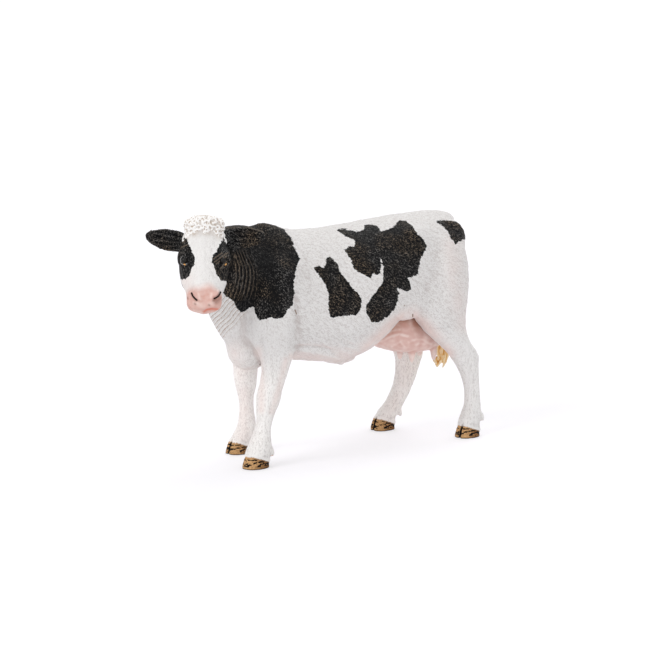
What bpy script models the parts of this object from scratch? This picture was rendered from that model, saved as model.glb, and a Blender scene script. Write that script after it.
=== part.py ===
"""Toy dairy cow figure: a hand-painted soft-plastic animal, moulded in pieces that plug together.

The figure faces -X with its left side to -Y, and its four hooves stand on the XY plane.
One master form is shaped first, the way a toy sculptor shapes the original. It is then cut
into the pieces that are moulded by themselves: torso, head with neck, and four legs. The ears,
the udder and the tail are moulded apart. Each piece has a plug or a root that seats in a socket
of the piece that holds it, with room for the glue.
"""

import math

import bmesh
import bpy
from mathutils import Matrix, Vector

MM = 0.001

# Driving dimensions of the figure
TRUNK_LENGTH = 100 * MM
WITHERS_HEIGHT = 80 * MM
BARREL_WIDTH = 40 * MM
HEAD_LENGTH = 29.5 * MM
LIMB_GIRTH = 8 * MM
HOOF_HEIGHT = 4.4 * MM
CLEFT_WIDTH = 0.5 * MM
DEWCLAW_LENGTH = 4.4 * MM
EAR_LENGTH = 15 * MM
EAR_WIDTH = 8.4 * MM
TAIL_GIRTH = 2.8 * MM
TEAT_LENGTH = 4.2 * MM
TEAT_GIRTH = 2.3 * MM

# Glued joints
JOINT_GAP = 0.3 * MM
NECK_PLUG_WIDTH = 9 * MM
NECK_PLUG_DEPTH = 6 * MM
NECK_SEAM_LEAD = 4 * MM
LEG_PLUG_WIDTH = 4.4 * MM
LEG_PLUG_DEPTH = 4.5 * MM
PLUG_ROOT = 1 * MM
PLUG_TAPER_SHARE = 0.8

# Fineness of the master form
VOXEL = 0.5 * MM
MASTER_TRIANGLES = 8000
RING_POINTS = 16
EAR_RING_POINTS = 12

# Trunk sections: along, ridge, keel, half width, widest height, ridge power, keel power
TRUNK_SHARES = [
    (0.04, 0.810, 0.575, 0.180, 0.675, 1.00, 1.00),
    (0.09, 0.930, 0.488, 0.300, 0.650, 1.10, 1.00),
    (0.15, 0.995, 0.440, 0.362, 0.625, 1.30, 0.95),
    (0.21, 0.990, 0.418, 0.388, 0.625, 1.35, 0.95),
    (0.29, 0.962, 0.400, 0.425, 0.625, 1.15, 0.95),
    (0.39, 0.949, 0.376, 0.480, 0.625, 1.00, 0.95),
    (0.49, 0.952, 0.364, 0.512, 0.625, 0.98, 0.95),
    (0.57, 0.957, 0.386, 0.505, 0.638, 0.95, 0.95),
    (0.65, 0.963, 0.458, 0.465, 0.675, 0.92, 0.95),
    (0.73, 0.968, 0.540, 0.425, 0.725, 0.85, 0.95),
    (0.81, 0.968, 0.575, 0.385, 0.750, 0.85, 1.00),
    (0.89, 0.966, 0.588, 0.335, 0.762, 0.85, 1.00),
    (0.94, 0.950, 0.612, 0.262, 0.775, 0.90, 1.00),
    (0.975, 0.905, 0.662, 0.162, 0.788, 1.00, 1.00),
]

# Body masses: along, side, height, then radii in trunk lengths, barrel widths and withers heights
MASS_SHARES = [
    (0.140, -0.010, 0.485, 0.085, 0.170, 0.110),
    (0.125, 0.250, 0.590, 0.055, 0.110, 0.095),
    (0.735, 0.262, 0.878, 0.070, 0.085, 0.062),
    (0.930, 0.158, 0.848, 0.054, 0.112, 0.085),
    (0.690, 0.320, 0.630, 0.095, 0.100, 0.090),
    (0.480, 0.130, 0.615, 0.205, 0.380, 0.215),
    (0.512, 0.000, 0.376, 0.075, 0.060, 0.024),
    (0.930, 0.000, 0.915, 0.060, 0.085, 0.045),
    (0.840, 0.000, 0.930, 0.150, 0.130, 0.040),
]

# Neck sections: crest along, side, height, throat along, side, height, half width
NECK_SHARES = [
    (0.180, 0.000, 0.980, 0.130, -0.020, 0.440, 0.300),
    (0.110, -0.013, 1.002, 0.065, -0.030, 0.465, 0.300),
    (0.060, -0.050, 1.006, 0.028, -0.055, 0.520, 0.270),
    (0.010, -0.100, 1.005, -0.002, -0.095, 0.590, 0.240),
    (-0.035, -0.150, 1.008, -0.022, -0.150, 0.660, 0.215),
    (-0.070, -0.195, 1.015, -0.045, -0.215, 0.725, 0.190),
]
NECK_SEAM_SHARE = 0.4
NECK_CUT_DROP_SHARE = 1.2

# Head: the poll's place on the trunk, then sections down the face: down, out to the face, back to the jaw,
# half width, all as shares of the head's length
POLL_SHARES = (-0.100, -0.262, 1.035)
FACE_YAW = math.radians(56.6)
FACE_PITCH = math.radians(35)
HEAD_SHARES = [
    (-0.035, 0.000, 0.270, 0.150),
    (0.090, 0.060, 0.400, 0.240),
    (0.250, 0.070, 0.500, 0.278),
    (0.410, 0.060, 0.555, 0.282),
    (0.530, 0.037, 0.520, 0.266),
    (0.640, 0.020, 0.440, 0.233),
    (0.730, 0.010, 0.370, 0.202),
    (0.830, 0.018, 0.320, 0.196),
    (0.910, 0.010, 0.285, 0.202),
    (0.960, -0.020, 0.250, 0.186),
    (0.992, -0.065, 0.205, 0.135),
]

# Swellings of the head: down, outward, leftward, then radii leftward, down and outward
HEAD_PAIR_SHARES = [
    (0.385, -0.070, 0.225, 0.070, 0.120, 0.100),
    (0.510, -0.290, 0.170, 0.090, 0.170, 0.170),
    (0.860, -0.060, 0.110, 0.085, 0.085, 0.075),
]
HEAD_MIDDLE_SHARES = [
    (0.020, 0.000, 0.000, 0.235, 0.110, 0.135),
    (0.060, -0.200, 0.000, 0.200, 0.130, 0.220),
    (0.925, -0.110, 0.000, 0.165, 0.065, 0.095),
    (0.905, -0.225, 0.000, 0.120, 0.085, 0.060),
    (0.640, -0.350, 0.000, 0.130, 0.270, 0.110),
]

# Leg sections: height, along, side, then half length and half width in limb girths
FORE_LEFT_SHARES = [
    (0.875, 0.200, 0.212, 0.62, 0.45),
    (0.775, 0.180, 0.257, 1.00, 0.60),
    (0.675, 0.160, 0.290, 1.25, 0.65),
    (0.588, 0.153, 0.300, 1.29, 0.68),
    (0.512, 0.170, 0.297, 1.08, 0.65),
    (0.450, 0.176, 0.290, 0.78, 0.59),
    (0.388, 0.169, 0.283, 0.57, 0.54),
    (0.338, 0.156, 0.278, 0.54, 0.52),
    (0.294, 0.146, 0.275, 0.55, 0.53),
    (0.262, 0.142, 0.275, 0.51, 0.50),
    (0.231, 0.133, 0.275, 0.40, 0.41),
    (0.194, 0.129, 0.275, 0.33, 0.36),
    (0.156, 0.122, 0.275, 0.32, 0.36),
    (0.125, 0.114, 0.275, 0.41, 0.42),
    (0.094, 0.110, 0.275, 0.50, 0.47),
    (0.069, 0.104, 0.275, 0.56, 0.50),
    (0.044, 0.096, 0.275, 0.56, 0.46),
]
FORE_RIGHT_SHARES = [
    (0.875, 0.210, 0.212, 0.62, 0.45),
    (0.775, 0.195, 0.257, 1.00, 0.60),
    (0.675, 0.180, 0.285, 1.25, 0.65),
    (0.588, 0.173, 0.290, 1.29, 0.68),
    (0.512, 0.190, 0.285, 1.08, 0.65),
    (0.450, 0.200, 0.280, 0.79, 0.59),
    (0.388, 0.200, 0.275, 0.57, 0.54),
    (0.338, 0.200, 0.275, 0.55, 0.52),
    (0.300, 0.201, 0.275, 0.51, 0.49),
    (0.262, 0.203, 0.275, 0.39, 0.39),
    (0.225, 0.204, 0.275, 0.31, 0.34),
    (0.181, 0.205, 0.275, 0.29, 0.33),
    (0.138, 0.207, 0.275, 0.35, 0.37),
    (0.100, 0.204, 0.275, 0.44, 0.42),
    (0.072, 0.190, 0.275, 0.50, 0.46),
    (0.044, 0.180, 0.275, 0.50, 0.44),
]
HIND_LEFT_SHARES = [
    (0.912, 0.850, 0.188, 1.00, 0.56),
    (0.825, 0.850, 0.230, 1.42, 0.75),
    (0.725, 0.850, 0.258, 1.46, 0.86),
    (0.638, 0.846, 0.275, 1.46, 0.88),
    (0.562, 0.835, 0.288, 1.40, 0.82),
    (0.500, 0.844, 0.300, 1.18, 0.75),
    (0.450, 0.870, 0.305, 0.92, 0.65),
    (0.412, 0.898, 0.308, 0.79, 0.58),
    (0.375, 0.929, 0.310, 0.74, 0.52),
    (0.338, 0.946, 0.310, 0.68, 0.48),
    (0.294, 0.959, 0.310, 0.46, 0.39),
    (0.225, 0.970, 0.310, 0.35, 0.34),
    (0.162, 0.976, 0.310, 0.33, 0.33),
    (0.116, 0.973, 0.310, 0.41, 0.38),
    (0.081, 0.962, 0.310, 0.49, 0.44),
    (0.044, 0.955, 0.310, 0.51, 0.44),
]
HIND_RIGHT_SHARES = [
    (0.912, 0.840, 0.188, 1.00, 0.56),
    (0.825, 0.835, 0.230, 1.44, 0.75),
    (0.725, 0.825, 0.258, 1.50, 0.86),
    (0.638, 0.805, 0.275, 1.48, 0.88),
    (0.562, 0.785, 0.290, 1.40, 0.82),
    (0.500, 0.790, 0.302, 1.20, 0.75),
    (0.450, 0.815, 0.312, 0.98, 0.65),
    (0.412, 0.842, 0.320, 0.85, 0.60),
    (0.375, 0.870, 0.325, 0.80, 0.54),
    (0.338, 0.894, 0.325, 0.81, 0.50),
    (0.294, 0.897, 0.328, 0.67, 0.42),
    (0.225, 0.881, 0.330, 0.51, 0.37),
    (0.162, 0.861, 0.335, 0.48, 0.36),
    (0.116, 0.839, 0.338, 0.50, 0.40),
    (0.081, 0.809, 0.340, 0.49, 0.43),
    (0.044, 0.795, 0.342, 0.52, 0.44),
]

# Each leg: sections, side, the sole's middle along and aside, its half length and half width in limb
# girths, then the dewclaws' place along and aloft and their lean
LEGS = {
    "foreleg_left": (FORE_LEFT_SHARES, -1, 0.094, 0.275, 0.59, 0.46, 0.146, 0.066, -0.4),
    "foreleg_right": (FORE_RIGHT_SHARES, 1, 0.172, 0.275, 0.54, 0.45, 0.235, 0.066, -0.4),
    "hindleg_left": (HIND_LEFT_SHARES, -1, 0.955, 0.310, 0.55, 0.45, 1.003, 0.085, -0.5),
    "hindleg_right": (HIND_RIGHT_SHARES, 1, 0.787, 0.342, 0.54, 0.45, 0.848, 0.073, -0.4),
}

# Hoof wall, from inside the pastern to below the sole: height in hoof heights, setback in limb girths,
# and size
HOOF_WALL_SHARES = [
    (1.20, 0.10, 0.70),
    (0.98, 0.06, 0.93),
    (0.50, 0.02, 0.99),
    (0.00, -0.02, 1.03),
    (-0.60, -0.04, 1.04),
]

# Seams of the legs: height, reach along the trunk and the inner face beside the middle, then where
# the plug stands
LEG_SEAMS = {
    "foreleg_left": (0.395, -0.05, 0.290, 0.150, 0.170, 0.284),
    "foreleg_right": (0.395, -0.05, 0.290, 0.150, 0.200, 0.276),
    "hindleg_left": (0.500, 0.705, 1.100, 0.020, 0.850, 0.330),
    "hindleg_right": (0.500, 0.690, 1.100, 0.020, 0.800, 0.335),
}

# Udder sections: along, top, floor, half width
UDDER_SHARES = [
    (0.615, 0.485, 0.440, 0.060),
    (0.655, 0.540, 0.402, 0.165),
    (0.710, 0.590, 0.380, 0.212),
    (0.765, 0.615, 0.366, 0.224),
    (0.825, 0.625, 0.358, 0.215),
    (0.880, 0.620, 0.362, 0.190),
    (0.922, 0.600, 0.385, 0.150),
    (0.952, 0.550, 0.430, 0.080),
]
TEAT_SHARES = [(0.783, 0.085), (0.783, -0.085), (0.872, 0.100), (0.872, -0.100)]
TEAT_ROOT_SHARE = 0.378

# Ear sections: out from the head, then width, thickness, hollow and rise of the middle, in ear widths
EAR_SHARES = [
    (0.00, 0.62, 0.30, 0.00, 0.02),
    (0.17, 0.86, 0.28, 0.02, 0.05),
    (0.32, 0.97, 0.23, 0.10, 0.05),
    (0.50, 0.98, 0.20, 0.16, 0.03),
    (0.70, 0.86, 0.18, 0.15, 0.03),
    (0.86, 0.64, 0.16, 0.10, 0.05),
    (0.96, 0.38, 0.14, 0.04, 0.08),
    (1.00, 0.14, 0.12, 0.01, 0.10),
]
EAR_SOCKET_SECTIONS = 3

# Ears: side, root's place down, back and aside in head lengths, lift and backward sweep of the course
EARS = {
    "ear_left": (1, 0.110, 0.190, 0.175, 0.17, 0.17),
    "ear_right": (-1, 0.170, 0.190, 0.143, 0.20, 0.05),
}

# Tail: along, side and height of its course, and its radius in half tail girths
TAIL_SHARES = [
    (0.965, 0.000, 0.890, 1.10),
    (0.985, 0.000, 0.885, 1.12),
    (1.003, 0.000, 0.850, 1.08),
    (1.008, 0.000, 0.780, 1.00),
    (1.006, 0.000, 0.680, 0.92),
    (1.005, 0.008, 0.570, 0.86),
    (0.998, 0.022, 0.470, 0.84),
    (0.980, 0.040, 0.400, 1.00),
    (0.960, 0.055, 0.350, 1.70),
    (0.946, 0.060, 0.310, 1.75),
    (0.937, 0.062, 0.270, 0.95),
]

AHEAD = Vector((1, 0, 0))
SIDE = Vector((0, 1, 0))
UP = Vector((0, 0, 1))


def place(along, aside, aloft):
    """A place on the figure, from shares of its length, width and height."""
    return Vector((along * TRUNK_LENGTH, aside * BARREL_WIDTH, aloft * WITHERS_HEIGHT))


def material(name, colour, roughness):
    made = bpy.data.materials.new(name)
    made.use_nodes = True
    made.diffuse_color = (*colour, 1)
    shader = made.node_tree.nodes["Principled BSDF"]
    shader.inputs["Base Color"].default_value = (*colour, 1)
    shader.inputs["Roughness"].default_value = roughness
    shader.inputs["Metallic"].default_value = 0
    return made


def collection(name):
    made = bpy.data.collections.new(name)
    bpy.context.scene.collection.children.link(made)
    return made


def mesh_object(name, mesh, group):
    made = bpy.data.objects.new(name, mesh)
    group.objects.link(made)
    return made


def helper(obj):
    obj.hide_render = True
    obj.display_type = "WIRE"
    return obj


def mesh_from(shape, name):
    """Makes a bmesh a mesh. Its faces already point outwards."""
    mesh = bpy.data.meshes.new(name)
    shape.to_mesh(mesh)
    shape.free()
    return mesh


def baked(obj):
    """Puts the object's modifiers into its mesh."""
    graph = bpy.context.evaluated_depsgraph_get()
    mesh = bpy.data.meshes.new_from_object(obj.evaluated_get(graph))
    obj.modifiers.clear()
    obj.data = mesh
    return obj


def boolean(target, operation, other):
    made = target.modifiers.new(other.name, "BOOLEAN")
    made.operation = operation
    made.solver = "EXACT"
    made.object = other


def signed_power(value, power):
    return math.copysign(abs(value) ** power, value)


def oval(centre, across, upward, half_width, rise, drop, rise_power=1.0, drop_power=1.0):
    """A closed section whose upper and lower halves can differ in height and fullness."""
    points = []
    for step in range(RING_POINTS):
        turn = math.tau * step / RING_POINTS
        height, power = (rise, rise_power) if math.sin(turn) >= 0 else (drop, drop_power)
        sideways = signed_power(math.cos(turn), power) * half_width
        vertical = signed_power(math.sin(turn), power) * height
        points.append(centre + across * sideways + upward * vertical)
    return points


def loft(name, rings, group):
    """A closed soft form through sections that have the same number of points."""
    shape = bmesh.new()
    loops = [[shape.verts.new(point) for point in ring] for ring in rings]
    for first, second in zip(loops, loops[1:]):
        for here in range(len(first)):
            after = (here + 1) % len(first)
            shape.faces.new((first[here], first[after], second[after], second[here]))
    shape.faces.new(reversed(loops[0]))
    shape.faces.new(loops[-1])
    if shape.calc_volume(signed=True) < 0:
        bmesh.ops.reverse_faces(shape, faces=shape.faces)
    made = mesh_object(name, mesh_from(shape, name), group)
    rounding = made.modifiers.new("Rounding", "SUBSURF")
    rounding.levels = 1
    rounding.render_levels = 1
    return made


def ellipsoid(name, centre, radii, group, turn=None):
    shape = bmesh.new()
    bmesh.ops.create_uvsphere(shape, u_segments=RING_POINTS, v_segments=RING_POINTS // 2, radius=1)
    shaping = (turn or Matrix.Identity(3)) @ Matrix.Diagonal(Vector(radii))
    for vertex in shape.verts:
        vertex.co = centre + shaping @ vertex.co
    return mesh_object(name, mesh_from(shape, name), group)


def box(name, low, high, group):
    """A box between two corners."""
    shape = bmesh.new()
    bmesh.ops.create_cube(shape, size=1)
    middle = (low + high) / 2
    for vertex in shape.verts:
        vertex.co = middle + Vector(a * b for a, b in zip(vertex.co, high - low))
    return mesh_object(name, mesh_from(shape, name), group)


def plug(name, seat, direction, width, depth, grown, group):
    """A square plug that narrows towards its end, from just behind its seat. A grown one is its socket."""
    root = PLUG_ROOT if not grown else JOINT_GAP * 2
    length = root + depth + grown
    shape = bmesh.new()
    corner = math.sqrt(2) / 2
    wide = (width + 2 * grown) * corner
    narrow = (width * PLUG_TAPER_SHARE + 2 * grown) * corner
    bmesh.ops.create_cone(shape, cap_ends=True, segments=4, radius1=wide, radius2=narrow, depth=length)
    square_up = Matrix.Rotation(math.radians(45), 4, "Z")
    aim = direction.to_track_quat("Z", "Y").to_matrix().to_4x4()
    middle = seat + direction * (length / 2 - root)
    shape.transform(Matrix.Translation(middle) @ aim @ square_up)
    return mesh_object(name, mesh_from(shape, name), group)


def trunk_form(group):
    rings = []
    for along, ridge, keel, half_width, widest, ridge_power, keel_power in TRUNK_SHARES:
        rise = (ridge - widest) * WITHERS_HEIGHT
        drop = (widest - keel) * WITHERS_HEIGHT
        wide = half_width * BARREL_WIDTH
        rings.append(oval(place(along, 0, widest), SIDE, UP, wide, rise, drop, ridge_power, keel_power))
    return loft("trunk_form", rings, group)


def body_masses(group):
    """Brisket, shoulder points, hooks, pins, flanks, ribs, navel, tail head and croup."""
    forms = []
    for along, aside, aloft, length, width, height in MASS_SHARES:
        radii = (length * TRUNK_LENGTH, width * BARREL_WIDTH, height * WITHERS_HEIGHT)
        for side in (-1, 1) if aside > 0 else (1,):
            forms.append(ellipsoid("mass", place(along, side * aside, aloft), radii, group))
    return forms


def neck_sections():
    """Centre, direction across, direction up, half width and half height of each neck section."""
    crests = [place(*row[0:3]) for row in NECK_SHARES]
    throats = [place(*row[3:6]) for row in NECK_SHARES]
    centres = [(crest + throat) / 2 for crest, throat in zip(crests, throats)]
    sections = []
    for index, row in enumerate(NECK_SHARES):
        course = centres[min(index + 1, len(centres) - 1)] - centres[max(index - 1, 0)]
        span = crests[index] - throats[index]
        upward = span.normalized()
        across = course.cross(upward).normalized()
        sections.append((centres[index], across, upward, row[6] * BARREL_WIDTH, span.length / 2))
    return sections


def neck_form(group):
    rings = []
    for centre, across, upward, half_width, half_height in neck_sections():
        rings.append(oval(centre, across, upward, half_width, half_height, half_height, 1.1, 1.35))
    return loft("neck_form", rings, group)


def head_frame():
    """Directions on the head: to its left, down the face, and out of the forehead."""
    facing = Vector((-math.cos(FACE_YAW), -math.sin(FACE_YAW), 0))
    down = facing * math.sin(FACE_PITCH) - UP * math.cos(FACE_PITCH)
    outward = facing * math.cos(FACE_PITCH) + UP * math.sin(FACE_PITCH)
    return UP.cross(facing), down, outward


def head_point(down_share, outward_share, left_share):
    left, down, outward = head_frame()
    reach = down * down_share + outward * outward_share + left * left_share
    return place(*POLL_SHARES) + reach * HEAD_LENGTH


def head_form(group):
    left, down, outward = head_frame()
    rings = []
    for along, rise, drop, half_width in HEAD_SHARES:
        centre = head_point(along, (rise - drop) / 2, 0)
        tall = (rise + drop) / 2 * HEAD_LENGTH
        rings.append(oval(centre, left, outward, half_width * HEAD_LENGTH, tall, tall, 0.85, 0.9))
    return loft("head_form", rings, group)


def head_swellings(group):
    """Brows, cheeks and nostrils in pairs, then forelock, nape, lip, chin and jaw."""
    turn = Matrix(head_frame()).transposed()
    rows = [(row, side) for row in HEAD_PAIR_SHARES for side in (-1, 1)]
    rows += [(row, 0) for row in HEAD_MIDDLE_SHARES]
    forms = []
    for (down, outward, leftward, *radii), side in rows:
        centre = head_point(down, outward, side * leftward)
        forms.append(ellipsoid("swelling", centre, [r * HEAD_LENGTH for r in radii], group, turn))
    return forms


def leg_form(name, group):
    rows, side = LEGS[name][:2]
    rings = []
    for height, along, aside, half_length, half_width in rows:
        wide = half_width * LIMB_GIRTH
        centre = place(along, side * aside, height)
        rings.append(oval(centre, AHEAD, SIDE, half_length * LIMB_GIRTH, wide, wide, 0.95, 0.95))
    return loft(name + "_form", rings, group)


def hoof_form(name, group):
    rows, side, along, aside, half_length, half_width = LEGS[name][:6]
    sole = place(along, side * aside, 0)
    rings = []
    for height, setback, size in HOOF_WALL_SHARES:
        centre = sole + UP * height * HOOF_HEIGHT + AHEAD * setback * LIMB_GIRTH
        wide = half_width * LIMB_GIRTH * size
        rings.append(oval(centre, AHEAD, SIDE, half_length * LIMB_GIRTH * size, wide, wide, 0.85, 0.85))
    return loft(name + "_hoof_form", rings, group)


def dewclaws(name, group):
    """Two short spurs behind the fetlock that lean backwards."""
    rows, side, along, aside, half_length, half_width, claw_along, claw_aloft, lean = LEGS[name]
    direction = (UP + AHEAD * lean).normalized()
    turn = direction.to_track_quat("Z", "Y").to_matrix()
    radius = DEWCLAW_LENGTH / 4
    forms = []
    for apart in (-1, 1):
        centre = place(claw_along, side * aside, claw_aloft) + SIDE * apart * radius * 1.3
        radii = (radius, radius, DEWCLAW_LENGTH / 2)
        forms.append(ellipsoid("dewclaw", centre, radii, group, turn))
    return forms


BLEND_LOW_SHARE = 0.28
BLEND_HIGH_SHARE = 0.45
HEAD_BLEND_WEIGHT = 0.12
NECK_END_SHARE = -0.08


def blend_weight(point):
    """How much the surface is smoothed: fully on the body, little on the head, not on the lower legs."""
    rise = (point.z / WITHERS_HEIGHT - BLEND_LOW_SHARE) / (BLEND_HIGH_SHARE - BLEND_LOW_SHARE)
    weight = min(max(rise, 0), 1)
    behind = (point - head_point(0.5, -0.45, 0)).dot(head_frame()[2]) / HEAD_LENGTH
    if point.x < 0 and behind > -0.2:
        weight *= HEAD_BLEND_WEIGHT
    return weight


def master_form(group):
    """The whole animal as one closed surface, with soft transitions between its masses."""
    forms = [trunk_form(group), neck_form(group), head_form(group)]
    forms += body_masses(group)
    forms += head_swellings(group)
    for name in LEGS:
        forms.append(leg_form(name, group))
        forms.append(hoof_form(name, group))
        forms += dewclaws(name, group)

    shape = bmesh.new()
    for form in forms:
        shape.from_mesh(baked(form).data)
        bpy.data.objects.remove(form)
    mesh = bpy.data.meshes.new("master")
    shape.to_mesh(mesh)
    shape.free()
    master = mesh_object("master", mesh, group)
    fuse = master.modifiers.new("Fuse", "REMESH")
    fuse.mode = "VOXEL"
    fuse.voxel_size = VOXEL
    baked(master)

    weights = master.vertex_groups.new(name="blend")
    for vertex in master.data.vertices:
        weights.add([vertex.index], blend_weight(vertex.co), "REPLACE")
    even = master.modifiers.new("Even", "SMOOTH")
    even.factor = 0.5
    even.iterations = 3
    blend = master.modifiers.new("Blend", "SMOOTH")
    blend.factor = 0.5
    blend.iterations = 110
    blend.vertex_group = "blend"
    baked(master)
    thin = master.modifiers.new("Thin", "DECIMATE")
    thin.ratio = MASTER_TRIANGLES / (2 * len(master.data.polygons))
    baked(master)
    return helper(master)


def udder_form(name, grown, group):
    rings = []
    for along, top, floor, half_width in UDDER_SHARES:
        tall = (top - floor) / 2 * WITHERS_HEIGHT + grown
        centre = place(along, 0, (top + floor) / 2)
        rings.append(oval(centre, SIDE, UP, half_width * BARREL_WIDTH + grown, tall, tall, 0.9, 0.8))
    first, last = rings[0], rings[-1]
    for ring, outward in ((first, -1), (last, 1)):
        for point in ring:
            point.x += outward * grown
    return loft(name, rings, group)


def ear_form(name, ear, sections, grown, group):
    """A cupped leaf on a round root, opening forwards. A grown root is the socket for one."""
    side, root_down, root_back, root_aside, lift, sweep = EARS[ear]
    left, down, outward = head_frame()
    root = head_point(root_down, -root_back, side * root_aside)
    course = (left * side + UP * lift - outward * sweep).normalized()
    opening = (outward - course * outward.dot(course)).normalized()
    blade = course.cross(opening)
    rings = []
    for share, width, thickness, hollow, rise in EAR_SHARES[:sections]:
        middle = root + course * share * EAR_LENGTH - blade * side * rise * EAR_WIDTH
        wide = width * EAR_WIDTH / 2 + grown
        thick = thickness * EAR_WIDTH / 2 + grown
        ring = []
        for step in range(EAR_RING_POINTS):
            turn = math.tau * step / EAR_RING_POINTS
            reach = math.cos(turn)
            cup = (reach * reach - 0.5) * hollow * EAR_WIDTH
            depth = signed_power(math.sin(turn), 0.8) * thick + cup
            ring.append(middle + blade * reach * wide + opening * depth)
        rings.append(ring)
    rings[0] = [point - course * grown for point in rings[0]]
    return loft(name, rings, group)


def tail_form(name, grown, group):
    """A tapering tail with its switch of hair, as a tube along its course."""
    curve = bpy.data.curves.new(name, "CURVE")
    curve.dimensions = "3D"
    curve.bevel_depth = TAIL_GIRTH / 2
    curve.bevel_resolution = 2
    curve.resolution_u = 4
    curve.use_fill_caps = True
    spline = curve.splines.new("BEZIER")
    spline.bezier_points.add(len(TAIL_SHARES) - 1)
    for point, (along, aside, aloft, radius) in zip(spline.bezier_points, TAIL_SHARES):
        point.co = place(along, aside, aloft)
        point.handle_left_type = "AUTO"
        point.handle_right_type = "AUTO"
        point.radius = radius + grown / (TAIL_GIRTH / 2)
    spline.bezier_points[0].co -= AHEAD * grown
    tube = bpy.data.objects.new(name, curve)
    group.objects.link(tube)
    graph = bpy.context.evaluated_depsgraph_get()
    mesh = bpy.data.meshes.new_from_object(tube.evaluated_get(graph))
    bpy.data.objects.remove(tube)
    shape = bmesh.new()
    shape.from_mesh(mesh)
    bmesh.ops.remove_doubles(shape, verts=shape.verts, dist=MM / 100)
    return mesh_object(name, mesh_from(shape, name), group)


def piece(name, master, paint, group):
    """A copy of the master form that its own modifiers cut to the piece."""
    made = mesh_object(name, master.data.copy(), group)
    made.data.materials.clear()
    made.data.materials.append(paint)
    return made


def leg_seam(name, master, torso, paint, parts, cutters):
    """Cuts one leg from the master and seats its plug in the torso."""
    height, rear, front, inner, plug_along, plug_aside = LEG_SEAMS[name]
    side = LEGS[name][1]
    half_gap = JOINT_GAP / 2
    outer = 1.0
    low = place(rear, min(side * inner, side * outer), 0)
    high = place(front, max(side * inner, side * outer), height)
    keep = helper(box(name + "_keep", low, high - UP * half_gap, cutters))
    apart = SIDE * half_gap * 2
    below = UP * HOOF_HEIGHT
    clear = helper(box(name + "_clear", low - apart - below, high + apart + UP * half_gap, cutters))
    boolean(torso, "DIFFERENCE", clear)

    leg = piece(name, master, paint, parts)
    boolean(leg, "INTERSECT", keep)
    seat = place(plug_along, side * plug_aside, height) - UP * half_gap
    shaft = helper(plug(name + "_plug", seat, UP, LEG_PLUG_WIDTH, LEG_PLUG_DEPTH, 0, cutters))
    socket = helper(plug(name + "_socket", seat, UP, LEG_PLUG_WIDTH, LEG_PLUG_DEPTH, JOINT_GAP, cutters))
    boolean(leg, "UNION", shaft)
    boolean(torso, "DIFFERENCE", socket)
    sole_along, sole_half = LEGS[name][2], LEGS[name][4] * LIMB_GIRTH
    toe = place(sole_along, side * LEGS[name][3], 0) - AHEAD * sole_half
    slot_low = toe - AHEAD * sole_half - SIDE * CLEFT_WIDTH / 2 - UP * HOOF_HEIGHT
    slot_high = toe + AHEAD * sole_half * 0.8 + SIDE * CLEFT_WIDTH / 2 + UP * HOOF_HEIGHT
    cleft = helper(box(name + "_cleft", slot_low, slot_high, cutters))
    boolean(leg, "DIFFERENCE", cleft)


def neck_seam(master, torso, paint, parts, cutters):
    """Cuts the head with its neck from the master, square to the neck's course, and seats its plug."""
    sections = neck_sections()
    seam = round(NECK_SEAM_SHARE * (len(sections) - 1))
    middle, across, upward, half_width, half_height = sections[seam]
    forward = upward.cross(across).normalized()
    if forward.x > 0:
        forward = -forward
    middle += forward * NECK_SEAM_LEAD
    reach = TRUNK_LENGTH
    frame = Matrix((upward.cross(forward), upward, forward)).transposed().to_4x4()
    head = piece("head_neck", master, paint, parts)
    for name, target, operation, shift in (
        ("neck_clear", torso, "DIFFERENCE", -JOINT_GAP / 2),
        ("neck_keep", head, "INTERSECT", JOINT_GAP / 2),
    ):
        low = Vector((-reach, -half_height * NECK_CUT_DROP_SHARE, shift))
        cutter = helper(box(name, low, Vector((reach, reach, reach)), cutters))
        cutter.data.transform(Matrix.Translation(middle) @ frame)
        boolean(target, operation, cutter)
    seat = middle + forward * JOINT_GAP / 2
    back = -forward
    shaft = helper(plug("neck_plug", seat, back, NECK_PLUG_WIDTH, NECK_PLUG_DEPTH, 0, cutters))
    socket = helper(plug("neck_socket", seat, back, NECK_PLUG_WIDTH, NECK_PLUG_DEPTH, JOINT_GAP, cutters))
    boolean(head, "UNION", shaft)
    boolean(torso, "DIFFERENCE", socket)
    return head


def udder_pocket(master, cutters):
    """The pocket between the thighs that the udder nests in."""
    pocket = helper(baked(udder_form("udder_pocket", JOINT_GAP, cutters)))
    boolean(master, "DIFFERENCE", pocket)
    baked(master)


def udder(paint, parts, cutters):
    """The udder and the four teats that hang from it."""
    made = baked(udder_form("udder", 0, parts))
    made.data.materials.append(paint)
    for index, (along, aside) in enumerate(TEAT_SHARES):
        centre = place(along, aside, TEAT_ROOT_SHARE) - UP * TEAT_LENGTH / 4
        radii = (TEAT_GIRTH / 2, TEAT_GIRTH / 2, TEAT_LENGTH * 0.75)
        boolean(made, "UNION", helper(ellipsoid(f"teat_{index + 1}", centre, radii, cutters)))
    return made


def ears(head, paint, parts, cutters):
    for name in EARS:
        made = ear_form(name, name, len(EAR_SHARES), 0, parts)
        made.data.materials.append(paint)
        socket = helper(baked(ear_form(name + "_socket", name, EAR_SOCKET_SECTIONS, JOINT_GAP, cutters)))
        boolean(head, "DIFFERENCE", socket)


def tail(torso, paint, parts, cutters):
    made = tail_form("tail", 0, parts)
    made.data.materials.append(paint)
    socket = helper(tail_form("tail_socket", JOINT_GAP, cutters))
    boolean(torso, "DIFFERENCE", socket)


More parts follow.
